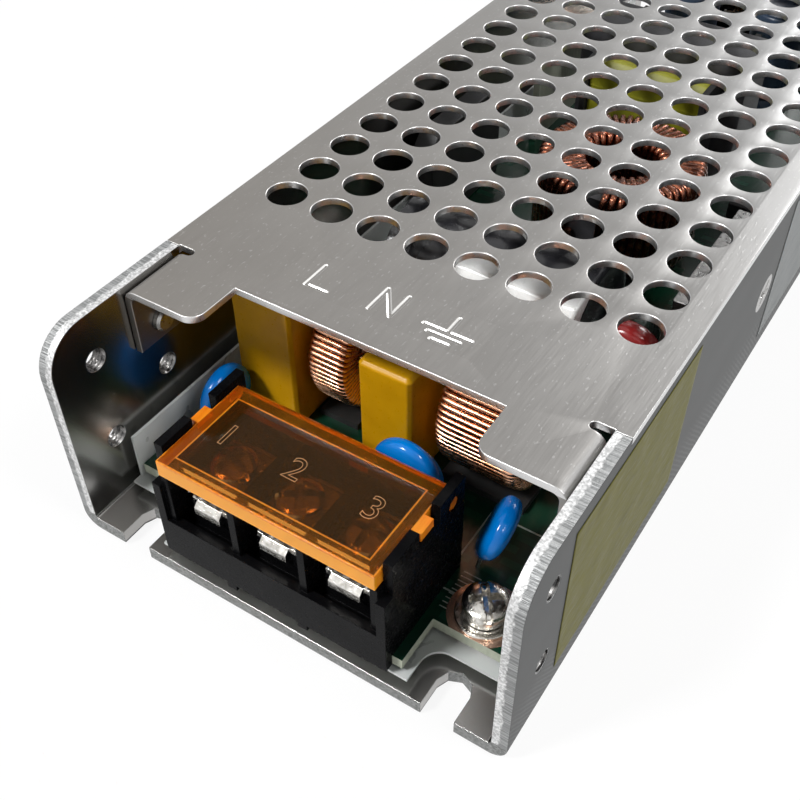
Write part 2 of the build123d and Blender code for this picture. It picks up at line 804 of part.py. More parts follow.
# Common-mode chokes: rings that stand on edge across the case, each on a ribbed base
for number, seat, radius, width, turns in (
    (1, choke_1_seat, choke_1_radius, choke_1_width, choke_1_turns),
    (2, choke_2_seat, choke_2_radius, choke_2_width, choke_2_turns),
):
    choke_middle = (seat[0], seat[1] - half_length, board_top + choke_base + radius)
    standing = Plane(origin=choke_middle, x_dir=(0, 1, 0), z_dir=(1, 0, 0))
    core_radius = radius - choke_winding
    with BuildPart() as choke_core:
        with Locations(standing):
            add(ring_core(core_radius, choke_hole_radius + choke_winding, width - 2 * choke_winding))
    save(choke_core.part, f"choke_{number}_core")
    with BuildPart() as choke_coil:
        with Locations(standing):
            add(ring_winding(radius, choke_hole_radius, width, choke_winding, turns, choke_gap, True))
    save(choke_coil.part, f"choke_{number}_winding")
    with BuildPart() as choke_stand:
        base_start = seat[1] - choke_base_length / 2
        rib_half = choke_gap / 2 - choke_rib_play
        with BuildSketch(side_plane(seat[0] - width / 2)):
            span(base_start, base_start + choke_base_length, board_top, board_top + choke_base)
            span(seat[1] - rib_half, seat[1] + rib_half, board_top, board_top + choke_base + choke_winding)
        extrude(amount=width)
    save(choke_stand.part, f"choke_{number}_base")


def disc_component(radius, thickness):
    """A dipped disc on edge in the XZ plane, centred on the origin."""
    with BuildPart() as disc:
        with BuildSketch(Plane.XZ):
            RegularPolygon(radius, disc_sides, rotation=180 / disc_sides)
        extrude(amount=thickness / 2, both=True)
        chamfer(disc.faces().filter_by(Axis.Y).edges(), disc_edge)
    return disc.part


def standing_disc(seat, radius, thickness, turn):
    """A dipped disc upright on two legs; its seat gives the height of its middle too."""
    x, distance_in, height = seat
    with BuildPart() as standing:
        add(disc_component(radius, thickness))
        for side in (-1, 1):
            with Locations((side * disc_leg_spacing / 2, 0, (board_top - height) / 2)):
                Box(disc_leg, disc_leg, height - board_top)
    return standing.part.moved(Location((x, distance_in - half_length, height), (0, 0, turn)))


# Disc capacitors on two legs each, the last one leaning over the earth screw
with BuildPart() as disc_capacitors:
    for seat, turn in zip(disc_seats, disc_turns):
        add(standing_disc(seat, disc_radius, disc_thickness, turn))
    lean_x, lean_in, lean_height = leaning_disc_seat
    with Locations(Location((lean_x, lean_in - half_length, lean_height), leaning_disc_turn)):
        add(disc_component(leaning_disc_radius, disc_thickness), rotation=(0, 0, 90))
    with BuildSketch(end_plane(board_top)):
        with Locations((lean_x, lean_in - disc_leg_spacing / 2), (lean_x, lean_in + disc_leg_spacing / 2)):
            Rectangle(disc_leg, disc_leg)
    extrude(amount=lean_height - board_top)
save(disc_capacitors.part, "disc_capacitors")

# Varistor across the board and inrush limiter along its right-hand edge
save(standing_disc(varistor_seat, varistor_radius, varistor_thickness, 0), "varistor")
save(standing_disc(limiter_seat, limiter_radius, limiter_thickness, 90), "inrush_limiter")

# Silicone laid between the second choke and the bulk capacitor
with BuildPart() as silicone_bead:
    with BuildSketch(side_plane(silicone_start_x)):
        Polygon(*silicone_corners, align=None)
    extrude(amount=silicone_length)
save(silicone_bead.part, "silicone_bead")

# Fuse: a glass tube between two metal caps, lying along the board
with BuildPart() as fuse:
    fuse_height = board_top + fuse_radius
    with BuildSketch(Plane.XZ.offset(half_length - fuse_in)):
        with Locations((fuse_x, fuse_height)):
            RegularPolygon(fuse_radius - fuse_cap_step, small_sides, rotation=180 / small_sides)
    extrude(amount=fuse_length / 2, both=True)
    for side in (-1, 1):
        cap_in = fuse_in + side * (fuse_length - fuse_cap_length) / 2
        with BuildSketch(Plane.XZ.offset(half_length - cap_in)):
            with Locations((fuse_x, fuse_height)):
                RegularPolygon(fuse_radius, small_sides, major_radius=False, rotation=180 / small_sides)
        extrude(amount=fuse_cap_length / 2, both=True)
save(fuse.part, "fuse")

# Bulk capacitor: a can lying across the board
with BuildPart() as bulk_capacitor:
    with BuildSketch(side_plane(bulk_seat[0] - bulk_length / 2)):
        with Locations((bulk_seat[1], board_top + bulk_radius)):
            RegularPolygon(bulk_radius, bulk_sides, major_radius=False, rotation=180 / bulk_sides)
    extrude(amount=bulk_length)
    chamfer(bulk_capacitor.faces().filter_by(Axis.X).edges(), bulk_edge)
save(bulk_capacitor.part, "bulk_capacitor")

# Boost coil: a ring lying flat on a round base
coil_place = (coil_seat[0], coil_seat[1] - half_length, board_top + coil_base + coil_height / 2)
with BuildPart() as coil_foot:
    with BuildSketch(end_plane(board_top)):
        with Locations(coil_seat):
            RegularPolygon(coil_radius - coil_winding, core_sides)
    extrude(amount=coil_base)
save(coil_foot.part, "coil_base")

coil_core_radius = coil_radius - coil_winding
coil_core_height = coil_height - 2 * coil_winding
with BuildPart() as coil_core:
    with Locations(coil_place):
        add(ring_core(coil_core_radius, coil_hole_radius + coil_winding, coil_core_height))
save(coil_core.part, "coil_core")

with BuildPart() as coil_wire:
    with Locations(coil_place):
        add(ring_winding(coil_radius, coil_hole_radius, coil_height, coil_winding, coil_turns, coil_gap, False))
save(coil_wire.part, "coil_winding")

# Transformer: a closed ferrite frame whose middle leg carries the taped winding
across_core = Plane.XZ.offset(half_length - transformer_in)
with BuildPart() as transformer_core:
    with BuildSketch(across_core):
        with Locations((transformer_x, core_middle)):
            Rectangle(core_width, core_height)
            with GridLocations(0, core_middle_leg + window_height, 1, 2):
                Rectangle(window_width, window_height, mode=Mode.SUBTRACT)
    extrude(amount=core_depth / 2, both=True)
save(transformer_core.part, "transformer_core")

winding_height = core_middle_leg + 2 * (window_height - bobbin_play)
with BuildPart() as transformer_winding:
    with BuildSketch(side_plane(transformer_x)) as winding_section:
        with Locations((transformer_in, core_middle)):
            Rectangle(bobbin_length - 2 * bobbin_flange, winding_height)
        chamfer(winding_section.vertices(), winding_corner)
        with Locations((transformer_in, core_middle)):
            Rectangle(core_depth + bobbin_play, core_middle_leg + bobbin_play, mode=Mode.SUBTRACT)
    extrude(amount=window_width / 2 - bobbin_flange, both=True)
save(transformer_winding.part, "transformer_winding")

with BuildPart() as transformer_bobbin:
    with BuildSketch(end_plane(board_top)):
        with Locations((transformer_x, transformer_in)):
            Rectangle(core_width, bobbin_length)
    extrude(amount=bobbin_base)
    bobbin_start = transformer_in - bobbin_length / 2
    for side in (-1, 1):
        with BuildSketch(side_plane(transformer_x + side * (window_width - bobbin_flange) / 2)):
            span(bobbin_start, bobbin_start + bobbin_length, core_bottom, core_middle + winding_height / 2)
            with Locations((transformer_in, core_middle)):
                Rectangle(core_depth + bobbin_play, core_middle_leg + bobbin_play, mode=Mode.SUBTRACT)
            with Locations((transformer_in, core_bottom)):
                Rectangle(core_depth + bobbin_play, 2 * core_outer_leg, mode=Mode.SUBTRACT)
        extrude(amount=bobbin_flange / 2, both=True)
save(transformer_bobbin.part, "transformer_bobbin")

# Output capacitors
with BuildPart() as output_capacitors:
    with BuildSketch(end_plane(board_top)):
        with Locations((-output_can_x, output_can_in), (output_can_x, output_can_in)):
            RegularPolygon(output_can_radius, small_sides)
    extrude(amount=output_can_height)
    chamfer(output_capacitors.edges().group_by(Axis.Z)[-1], output_can_edge)
save(output_capacitors.part, "output_capacitors")

# Thermal pads between the side wall and the power devices
pair_reach = (device_spacing + device_width) / 2
device_top = device_bottom + device_tab_height
with BuildPart() as thermal_pads:
    with BuildSketch(side_plane(device_back)):
        for station in device_stations_in:
            span(station - pair_reach - pad_margin, station + pair_reach + pad_margin, device_bottom, device_top)
            with Locations((station, device_screw_height)):
                RegularPolygon(
                    wall_screw_radius + wall_screw_play, small_sides, major_radius=False, mode=Mode.SUBTRACT
                )
    extrude(amount=pad_thickness)
save(thermal_pads.part, "thermal_pads")

# Power devices: bodies with tab and legs, and the bar that presses each pair to the wall
for device_name, station in zip(("transistor", "rectifier"), device_stations_in):
    middles = (station - device_spacing / 2, station + device_spacing / 2)
    with BuildPart() as devices:
        for middle in middles:
            device_start = middle - device_width / 2
            with BuildSketch(side_plane(device_back)):
                span(device_start, device_start + device_width, device_bottom, device_top)
            extrude(amount=-device_tab_thickness)
            with BuildSketch(side_plane(device_back)):
                span(device_start, device_start + device_width, device_bottom, device_bottom + device_body_height)
            extrude(amount=-device_thickness)
            with BuildSketch(end_plane(board_top)):
                with Locations((device_back - device_leg_from_wall, middle)):
                    with GridLocations(0, device_leg_pitch, 1, 3):
                        Rectangle(device_leg / 2, device_leg)
            extrude(amount=device_bottom - board_top)
    save(devices.part, f"{device_name}s")
    with BuildPart() as clamp_bar:
        bar_low = device_screw_height - clamp_bar_height / 2
        with BuildSketch(side_plane(device_back - device_thickness)):
            span(station - pair_reach, station + pair_reach, bar_low, bar_low + clamp_bar_height)
            with Locations((station, device_screw_height)):
                RegularPolygon(wall_screw_radius, small_sides, major_radius=False, mode=Mode.SUBTRACT)
        extrude(amount=-clamp_bar_thickness)
    save(clamp_bar.part, f"{device_name}_clamp_bar")


def upright_block(seat, size, corner):
    """A flat upright component standing along the board, with its two upper corners cut off."""
    with BuildPart() as body:
        with BuildSketch(side_plane(seat[0])) as outline:
            span(seat[1] - size[1] / 2, seat[1] + size[1] / 2, board_top, board_top + size[2])
            chamfer(outline.vertices().group_by(Axis.Y)[-1], corner)
        extrude(amount=size[0] / 2, both=True)
    return body.part


save(upright_block(bridge_seat, bridge_size, bridge_corner), "bridge_rectifier")
save(upright_block(daughter_seat, daughter_size, daughter_size[0]), "control_board")
save(upright_block(coupler_seat, coupler_size, coupler_size[2] / 4), "optocoupler")

# Voltage trimmer and pilot lamp beside the output terminals
with BuildPart() as trimmer_body:
    with BuildSketch(end_plane(board_top)):
        with Locations(trimmer_seat):
            Rectangle(trimmer_side, trimmer_side)
    extrude(amount=trimmer_height)
    with BuildSketch(end_plane(board_top + trimmer_height)):
        with Locations(trimmer_seat):
            RegularPolygon(rotor_radius + rotor_play, small_sides, major_radius=False)
    extrude(amount=-rotor_sink, mode=Mode.SUBTRACT)
save_at_end(trimmer_body.part, "trimmer_body", True)

with BuildPart() as trimmer_rotor:
    with BuildSketch(end_plane(board_top + trimmer_height - rotor_sink)):
        with Locations(trimmer_seat):
            RegularPolygon(rotor_radius, small_sides)
    extrude(amount=rotor_sink + rotor_rise)
    with BuildSketch(end_plane(board_top + trimmer_height + rotor_rise)):
        with Locations(trimmer_seat):
            Rectangle(rotor_slot_width, 2 * rotor_radius)
            Rectangle(2 * rotor_radius, rotor_slot_width)
    extrude(amount=-rotor_slot_depth, mode=Mode.SUBTRACT)
save_at_end(trimmer_rotor.part, "trimmer_rotor", True)

with BuildPart() as pilot_lamp:
    with BuildSketch(end_plane(board_top)):
        with Locations(lamp_seat):
            RegularPolygon(lamp_radius + lamp_rim, small_sides)
    extrude(amount=lamp_rim_height)
    with BuildSketch(end_plane(board_top)):
        with Locations(lamp_seat):
            RegularPolygon(lamp_radius, small_sides)
    extrude(amount=lamp_height)
    chamfer(pilot_lamp.edges().group_by(Axis.Z)[-1], lamp_radius / 3)
save_at_end(pilot_lamp.part, "pilot_lamp", True)


def wall_label(start_in, length):
    """A thin label on the outside of the right-hand wall."""
    with BuildPart() as label:
        with BuildSketch(side_plane(half_width)):
            span(start_in, start_in + length, *sticker_heights)
        extrude(amount=label_thickness)
    return label.part


save(wall_label(sticker_in, sticker_length), "yellow_sticker")
save(wall_label(rating_in, rating_length), "plain_label")
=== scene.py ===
"""Looks of a slim switching power supply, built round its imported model.

Sizes are in millimetres until a mesh is made. X runs across the case, Y from the mains end
to the output end and Z up, and a distance called "in" is measured inwards from an end.
"""

import json

import bmesh
import bpy
import numpy as np
from mathutils import Matrix, Vector
from mathutils.geometry import delaunay_2d_cdt

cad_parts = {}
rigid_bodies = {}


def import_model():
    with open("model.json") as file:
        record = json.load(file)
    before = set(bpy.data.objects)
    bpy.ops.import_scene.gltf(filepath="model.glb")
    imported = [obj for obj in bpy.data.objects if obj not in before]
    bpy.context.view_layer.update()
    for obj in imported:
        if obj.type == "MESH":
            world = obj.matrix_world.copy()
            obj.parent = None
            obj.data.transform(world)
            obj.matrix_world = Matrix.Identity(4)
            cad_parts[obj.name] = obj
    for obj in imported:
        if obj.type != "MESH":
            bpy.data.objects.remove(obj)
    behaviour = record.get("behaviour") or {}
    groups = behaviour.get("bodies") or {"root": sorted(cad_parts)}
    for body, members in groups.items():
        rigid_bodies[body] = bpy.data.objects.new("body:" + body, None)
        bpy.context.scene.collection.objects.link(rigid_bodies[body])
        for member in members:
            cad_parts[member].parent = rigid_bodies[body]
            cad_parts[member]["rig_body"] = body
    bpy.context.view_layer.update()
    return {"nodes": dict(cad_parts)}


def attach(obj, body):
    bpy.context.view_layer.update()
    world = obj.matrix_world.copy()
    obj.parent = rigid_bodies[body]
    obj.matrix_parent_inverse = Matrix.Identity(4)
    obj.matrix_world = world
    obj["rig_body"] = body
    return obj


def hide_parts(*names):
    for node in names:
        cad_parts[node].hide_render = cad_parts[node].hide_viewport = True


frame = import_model()

MM = 0.001
PI = np.pi

# Sizes that the looks share with the frame
HALF_LENGTH = 85.0
HALF_WIDTH = 31.0
TOP = 31.0
SHEET = 2.0
BOARD_TOP = 6.0
RECESS_HALF = 18.0
RECESS_IN = 19.6
LOBE_IN = 12.4
LOBE_CORNER = 2.0
FLANGE_END_IN = 21.4
RELIEF_IN = 22.0
RELIEF_RADIUS = 0.6
PLATE_IN = 22.4
BEND_START = 27.0
BEND_RADIUS = 1.9
FLANGE_DROP = 7.7
COVER_SHEET = 1.0
VENT_PITCH = 7.09
VENT_RADIUS = 2.7
VENT_COLUMNS = 8
VENT_ROWS = 14
VENT_FIRST_IN = 38.5
WALL_SCREW_RADIUS = 1.5
WALL_SCREW_HEAD = 2.8
COVER_SCREW_IN = 16.4
COVER_SCREW_HEIGHT = 24.2
DEVICE_SCREW_INS = (71.5, 130.0)
DEVICE_SCREW_HEIGHT = 16.4
TAPPED_PLACES = ((6.4, 11.5), (6.4, 24.3), (16.8, 15.9))
SCREW_IN = 7.0
CLAMP_TOP = 15.7
FLAP_TOP = 20.8
FLAP_IN = (0.3, 15.5)
FLAP_RIM = 1.6
FLAP_REAR_RIM = 2.6
FLAP_SIZES = {"input": (-0.4, 14.65), "output": (0.4, 9.9)}
NUMERAL_IN = 7.75
NUMERAL_SHIFT = (-0.9, -0.7, 0.1)
POST_X = 21.5
POST_IN = 11.6
EARTH_WASHERS = 1.4
LEG_APART = 2.5
POLES = {"input": (-9.9, -0.4, 9.1), "output": (5.15, -4.35)}
DISC_SPOTS = ((-22.0, -65.8, 11.9), (6.7, -67.0, 15.8), (5.3, -63.7, 11.4))
LEANING_SPOT = (19.2, -66.8, 13.2)
VARISTOR_SPOT = (20.6, -37.8, 18.0)
LIMITER_SPOT = (19.6, -29.5, 12.5)
CHOKE_SPOTS = ((-10.3, -50.3, 16.5), (12.3, -51.3, 17.0))
COIL_SPOT = (3.2, -1.0, 15.5)
BULK_SPOT = (-16.0, -30.6, 15.4)
FUSE_SPOT = (-22.0, -32.5, 8.6)
CAN_PLACES = ((-8.4, 56.5), (8.4, 56.5))

# Camera, lamps and sizes of the looks alone
LENS = 47.53
LENS_SHIFT = -0.025
EYE = (51.31, -135.95, 107.89)
EYE_RIGHT = (0.8457, 0.5335, 0.0070)
EYE_AHEAD = (-0.3763, 0.6057, -0.7011)
SKY_LIGHT = 0.13
# Each lamp has its place, the point it looks at and its size, in metres, then its watts
LAMPS = {
    "key_lamp": ((0.34, -0.06, 0.46), (0, -0.05, 0.02), 0.16, 1.5),
    "rear_lamp": ((0.14, 0.95, 0.46), (0, 0.02, 0.02), 0.36, 6.5),
    "front_lamp": ((-0.24, -0.42, 0.50), (0, -0.06, 0.02), 0.12, 3.6),
}
FLOOR_REACH = 3.0
FLOOR_GAP = 0.0003
SIGN_WIDTH = 0.42
SIGN_SINK = 0.17
SIGN_FIELD = ((-12.8, 11.41), (23.4, 30.41))
SIGN_STEP = 0.1
SIGN_ZONE = (12.7, 23.5, 30.3)


# Shader writing
class Number:
    """A socket of a material; arithmetic on it adds the Math node that does the same."""

    def __init__(self, paint, socket):
        self.paint = paint
        self.socket = socket

    def maths(self, operation, *values):
        return self.paint.node("Math", {"operation": operation}, dict(enumerate(values or (self,))))

    def __add__(self, other):
        return self.maths("ADD", self, other)

    def __sub__(self, other):
        return self.maths("SUBTRACT", self, other)

    def __rsub__(self, other):
        return self.maths("SUBTRACT", other, self)

    def __mul__(self, other):
        return self.maths("MULTIPLY", self, other)

    def __gt__(self, other):
        return self.maths("GREATER_THAN", self, other)

    def __lt__(self, other):
        return self.maths("LESS_THAN", self, other)

    def __abs__(self):
        return self.maths("ABSOLUTE", self)

    __radd__ = __add__
    __rmul__ = __mul__

    def least(self, other):
        return self.maths("MINIMUM", self, other)

    def most(self, other):
        return self.maths("MAXIMUM", self, other)

    def sine(self):
        return self.maths("SINE", self)

    def rest(self, other):
        return self.maths("FLOORED_MODULO", self, other)

    def span(self, low, high, start=0.0, end=1.0):
        """Start to end as the value runs from low to high, held outside them."""
        values = {"Value": self, "From Min": low, "From Max": high, "To Min": start, "To Max": end}
        return self.paint.node("MapRange", {"clamp": True}, values)


class Tree:
    """A node tree in the making, of a material or of the world."""

    def __init__(self, owner):
        owner.use_nodes = True
        self.owner = owner
        self.tree = owner.node_tree
        self.tree.nodes.clear()

    def node(self, kind, settings=None, values=None, out=0):
        made = self.tree.nodes.new("ShaderNode" + kind)
        for key, value in (settings or {}).items():
            setattr(made, key, value)
        for key, value in (values or {}).items():
            if isinstance(value, Number):
                self.tree.links.new(value.socket, made.inputs[key])
            else:
                made.inputs[key].default_value = value
        return Number(self, made.outputs[out])

    def seen_rays(self):
        """1 on the rays that the eye follows, straight, mirrored or through glass, and 0 on all others."""
        rays = [self.node("LightPath", out=f"Is {kind} Ray") for kind in ("Camera", "Glossy", "Transmission")]
        return rays[0].most(rays[1]).most(rays[2])

    def finish(self, shader, kind="Material"):
        out = self.tree.nodes.new("ShaderNodeOutput" + kind)
        self.tree.links.new(shader.socket, out.inputs["Surface"])
        return self.owner


class Paint(Tree):
    """One material in the making, with the patterns read from Object coordinates."""

    def __init__(self, name):
        super().__init__(bpy.data.materials.new(name))
        place = self.node("TexCoord", out="Object")
        self.place = self.node("VectorMath", {"operation": "SCALE"}, {0: place, "Scale": 1 / MM})
        self.x, self.y, self.z = (self.node("SeparateXYZ", {}, {0: self.place}, out=n) for n in range(3))

    def normal(self):
        """The three parts of the surface's own direction, each without its sign."""
        facing = self.node("TexCoord", out="Normal")
        return [abs(self.node("SeparateXYZ", {}, {0: facing}, out=n)) for n in range(3)]

    def noise(self, size, stretch=(1, 1, 1), detail=2.0, shift=0.0):
        """Cloudy pattern from 0 to 1 whose blobs are size millimetres, drawn out by stretch."""
        scale = [1 / (size * s) for s in stretch]
        moved = self.node("Mapping", {}, {0: self.place, "Location": (shift,) * 3, "Scale": scale})
        return self.node("TexNoise", {}, {"Vector": moved, "Scale": 1.0, "Detail": detail})

    def blend(self, factor, first, second):
        """First colour where the factor is 0, second where it is 1."""
        first, second = (c if isinstance(c, Number) else (*c, 1.0) for c in (first, second))
        return self.node("Mix", {"data_type": "RGBA"}, {0: factor, 6: first, 7: second}, out=2)

    def bump(self, height):
        """A normal raised by the height in millimetres."""
        return self.node("Bump", {}, {"Height": height, "Distance": MM})

    def coat(self, colour, roughness, height=None, **fixed):
        """Principled surface; fixed sockets are named with underscores for spaces."""
        colour = colour if isinstance(colour, Number) else (*colour, 1.0)
        values = {"Base Color": colour, "Roughness": roughness}
        values.update({key.replace("_", " "): value for key, value in fixed.items()})
        if height is not None:
            values["Normal"] = self.bump(height)
        return self.node("BsdfPrincipled", {}, values)


def satin_sheet():
    """Rolled aluminium of the cover: fine grain along the case, small bright marks, pale cut rims."""
    p = Paint("satin_sheet")
    grain = p.noise(0.16, (1, 26, 1), 3.0)
    cloud = p.noise(9.0, (1, 1.6, 1))
    fleck = p.noise(0.34, (1, 2.2, 1), 1.0).span(0.66, 0.76)
    scratch = p.noise(0.22, (1, 14, 1), 1.0, shift=7.0).span(0.72, 0.8)
    facing = p.normal()
    inward = p.y + HALF_LENGTH
    near_signs = (abs(p.x) < SIGN_ZONE[0]) * (inward > SIGN_ZONE[1]) * (inward < SIGN_ZONE[2])
    # Painted highlight: the slopes of the sunk signs are lightened towards pale metal.
    sign_slope_highlight = near_signs * (p.z < TOP - 0.035) * (p.z > TOP - 0.165)
    rim = facing[2].span(0.95, 0.6) * (p.z > TOP - COVER_SHEET - 0.1)
    # Painted light: the sheet is darker and warmer at the front left and lighter and cooler towards the right
    # and the rear, a painted sheen across the cover.
    painted_light_gradient = (p.x * 0.6 + p.y * 0.4).span(-50.0, 40.0)
    shaded_front_tone = p.blend(grain * 0.5 + cloud * 0.5, (0.205, 0.19, 0.172), (0.285, 0.268, 0.247))
    lit_rear_tone = p.blend(grain * 0.5 + cloud * 0.5, (0.26, 0.26, 0.26), (0.36, 0.365, 0.37))
    tone = p.blend(painted_light_gradient, shaded_front_tone, lit_rear_tone)
    tone = p.blend(fleck * 0.16 + scratch * 0.15, tone, (0.75, 0.75, 0.75))
    tone = p.blend(rim * 0.75, tone, (0.8, 0.8, 0.8))
    tone = p.blend(sign_slope_highlight * 0.4, tone, (0.8, 0.79, 0.77))
    rough = grain.span(0.3, 0.7, 0.34, 0.46) - rim * 0.08
    return p.finish(p.coat(tone, rough, grain * 0.005 + fleck * 0.006 + scratch * -0.006, Metallic=1.0))


def folded_case():
    """Case aluminium: dull grey outside with a drawn band low down, bright inside, frosty sheared edges."""
    p = Paint("folded_case")
    facing = p.normal()
    wall = (p.z > 2.6) * (facing[0].span(0.8, 0.55))
    base = (p.z < 2.6) * (facing[2].span(0.8, 0.55)) * (facing[0].span(0.95, 0.8))
    cut = wall.most(base)
    outside = (abs(p.x) > HALF_WIDTH - 0.35) + (p.z < 0.3)
    outside = outside.least(1.0) * (1 - cut)
    depth = abs(p.x) - (HALF_WIDTH - SHEET)
    ragged = depth + (p.noise(0.8) - 0.5) * 0.9
    shear = ragged.span(0.85, 1.05) * wall
    streak = p.noise(0.22, (30, 1, 1), 2.0).span(0.4, 0.62)
    frost = p.noise(0.3, detail=3.0)
    cloud = p.noise(6.0, (1, 2.0, 1))
    hatch = ((p.y + p.z + p.noise(1.5) * 0.5) * (2 * PI / 0.9)).sine().span(-0.4, 0.9) * p.z.span(11.0, 7.0)
    dull = p.blend(cloud, (0.05, 0.052, 0.052), (0.078, 0.08, 0.08))
    dull = p.blend(hatch * 0.35, dull, (0.16, 0.16, 0.16))
    bright = p.blend(cloud, (0.30, 0.295, 0.28), (0.42, 0.41, 0.4))
    white = p.blend(frost.span(0.35, 0.65), (0.40, 0.40, 0.40), (0.80, 0.80, 0.80))
    sheared = p.blend(streak, (0.20, 0.205, 0.205), (0.36, 0.365, 0.365))
    worn = p.blend(frost.span(0.3, 0.7), (0.13, 0.133, 0.13), (0.33, 0.335, 0.33))
    edge_tone = p.blend(base, p.blend(shear, white, sheared), worn)
    tone = p.blend(outside, bright, dull)
    tone = p.blend(cut, tone, edge_tone)
    rough = outside.span(0.0, 1.0, 0.22, 0.5).most(cut * 0.5)
    metal = 1 - cut * 0.35 - outside * 0.45
    brushing = p.noise(0.3, (1, 20, 20)) * 0.004 + hatch * outside * 0.01
    height = frost * cut * 0.06 + streak * shear * 0.05 + brushing
    return p.finish(p.coat(tone, rough, height, Metallic=metal, Specular_IOR_Level=0.2))


def plated(name, dark, light, rough=0.16, wear=0.008):
    """Plated metal with a mottled tone and short scratches."""
    p = Paint(name)
    mottle = p.noise(0.7, detail=3.0)
    scratch = p.noise(0.15, (1, 6, 1), 1.0).span(0.55, 0.7)
    tone = p.blend(mottle.span(0.3, 0.7), dark, light)
    rough = mottle.span(0.3, 0.7, rough, rough + 0.14)
    return p.finish(p.coat(tone, rough, scratch * wear + mottle * wear, Metallic=1.0))


def moulding(name, dark, light, rough=0.28, grain=0.5, depth=0.004, **fixed):
    """Moulded or dipped plastic: faint mottling, an even gloss and a slight skin."""
    p = Paint(name)
    skin = p.noise(grain, detail=3.0)
    cloud = p.noise(4.0)
    tone = p.blend(cloud.span(0.3, 0.7), dark, light)
    return p.finish(p.coat(tone, skin.span(0.3, 0.7, rough, rough + 0.12), skin * depth, **fixed))


def amber_flap(name, centre, half):
    """Clear amber moulding: dark and see-through, with a painted glow along its edges, its front lip, its
    inner rim and its border band, and painted shade of the dark parts under it in its middle.
    """
    p = Paint(name)
    skin = p.noise(3.0, detail=0.5)
    aside = half - abs(p.x - centre)
    inward = HALF_LENGTH - abs(p.y)
    front = inward - FLAP_IN[0]
    rear = FLAP_IN[1] - inward
    brim = aside.least(front).least(rear)
    edge = brim.span(0.26, 0.1)
    pocket = (aside - FLAP_RIM).least(front - FLAP_RIM).least(rear - FLAP_REAR_RIM)
    inner = abs(pocket).span(0.15, 0.05) * (p.z > FLAP_TOP - 0.3)
    lip = front.span(0.5, 0.3) * p.z.span(FLAP_TOP - 0.2, FLAP_TOP - 0.5)
    border = pocket.span(0.1, -0.1)
    # Painted glow: the edges, the front lip and the inner rim get a bright orange coat that stands for light
    # carried through the plastic.
    bright = p.blend(p.noise(0.7, (1, 5, 1)).span(0.3, 0.7), (0.85, 0.21, 0.008), (1.0, 0.36, 0.02))
    bright = p.blend(lip, bright, (1.0, 0.40, 0.015))
    # The border band gets a lighter tint and haze than the middle, a painted glow; the middle's darker haze
    # is painted shade of the black parts below.
    tint = p.blend(border, (0.36, 0.17, 0.055), (0.72, 0.30, 0.05))
    clear = p.coat(tint, 0.04, skin * 0.004, Transmission_Weight=1.0, IOR=1.12, Specular_IOR_Level=0.3)
    solid = p.coat(bright, 0.14, skin * 0.006, Transmission_Weight=0.2, IOR=1.45, Specular_IOR_Level=0.3)
    haze = p.blend(p.noise(0.9, (1, 3, 1)).span(0.3, 0.7), (0.30, 0.10, 0.008), (0.46, 0.17, 0.012))
    haze = p.blend(border, (0.17, 0.085, 0.02), haze)
    shade_and_glow_layer = p.coat(haze, 0.1, skin * 0.006, Specular_IOR_Level=0.2)
    rim = p.node("MixShader", {}, {0: border.span(0.0, 1.0, 0.12, 0.18), 1: clear, 2: shade_and_glow_layer})
    return p.finish(p.node("MixShader", {}, {0: edge.most(inner * 0.7).most(lip) * 0.9, 1: rim, 2: solid}))


def copper_wire(name, dark, light):
    """Enamelled copper: bright drawn wire under a clear varnish, a little uneven from turn to turn."""
    p = Paint(name)
    uneven = p.noise(1.1, detail=2.0)
    tone = p.blend(uneven.span(0.3, 0.7), dark, light)
    rough = uneven.span(0.3, 0.7, 0.2, 0.32)
    return p.finish(p.coat(tone, rough, uneven * 0.01, Metallic=1.0, Coat_Weight=0.5))


def board_lacquer():
    """Dark green lacquer over traces, thin white outlines round the parts, and a pale glass-fibre edge."""
    p = Paint("board_lacquer")
    facing = p.normal()
    edge = facing[2].span(0.6, 0.4)
    weave = p.noise(0.5, (1, 1, 3))
    bricks = {"Vector": p.place, "Scale": 0.12, "Mortar Size": 0.06, "Mortar Smooth": 0.1}
    trace = p.node("TexBrick", {"offset": 0.5}, bricks)
    inward = HALF_LENGTH - abs(p.y)
    far_x = abs(p.x - 20.0) - 5.2
    far_y = abs(inward - 18.6) - 6.4
    box = far_x.most(far_y)
    outline = (abs(box) < 0.12) * (p.z > BOARD_TOP - 0.1)
    comb_zone = (abs(p.x - 17.6) < 1.2) * (abs(inward - 12.5) < 3.2)
    comb = comb_zone * (inward.rest(0.7) < 0.16)
    from_screw_x, from_screw_y = abs(p.x) - POST_X, inward - POST_IN
    ring = (from_screw_x * from_screw_x + from_screw_y * from_screw_y).maths("SQRT")
    pad = (ring < 4.5) * (ring > 1.2) * (1 - edge)
    green = p.blend(trace > 0.5, (0.004, 0.035, 0.018), (0.006, 0.055, 0.03))
    tone = p.blend((outline + comb).least(1.0) * 0.6, green, (0.6, 0.65, 0.6))
    tone = p.blend(pad, tone, (0.62, 0.42, 0.32))
    tone = p.blend(edge, tone, p.blend(weave, (0.30, 0.34, 0.26), (0.52, 0.54, 0.44)))
    rough = edge.span(0.0, 1.0, 0.22, 0.7)
    return p.finish(p.coat(tone, rough, weave * edge * 0.03 + p.noise(0.4) * 0.01, Metallic=pad * 0.9))


def milky_film():
    """Milky polyester sheet that lets some light through."""
    p = Paint("milky_film")
    haze = p.noise(3.0)
    tone = p.blend(haze, (0.66, 0.70, 0.69), (0.80, 0.82, 0.81))
    return p.finish(p.coat(tone, haze.span(0.3, 0.7, 0.25, 0.4), haze * 0.03, Transmission_Weight=0.25))


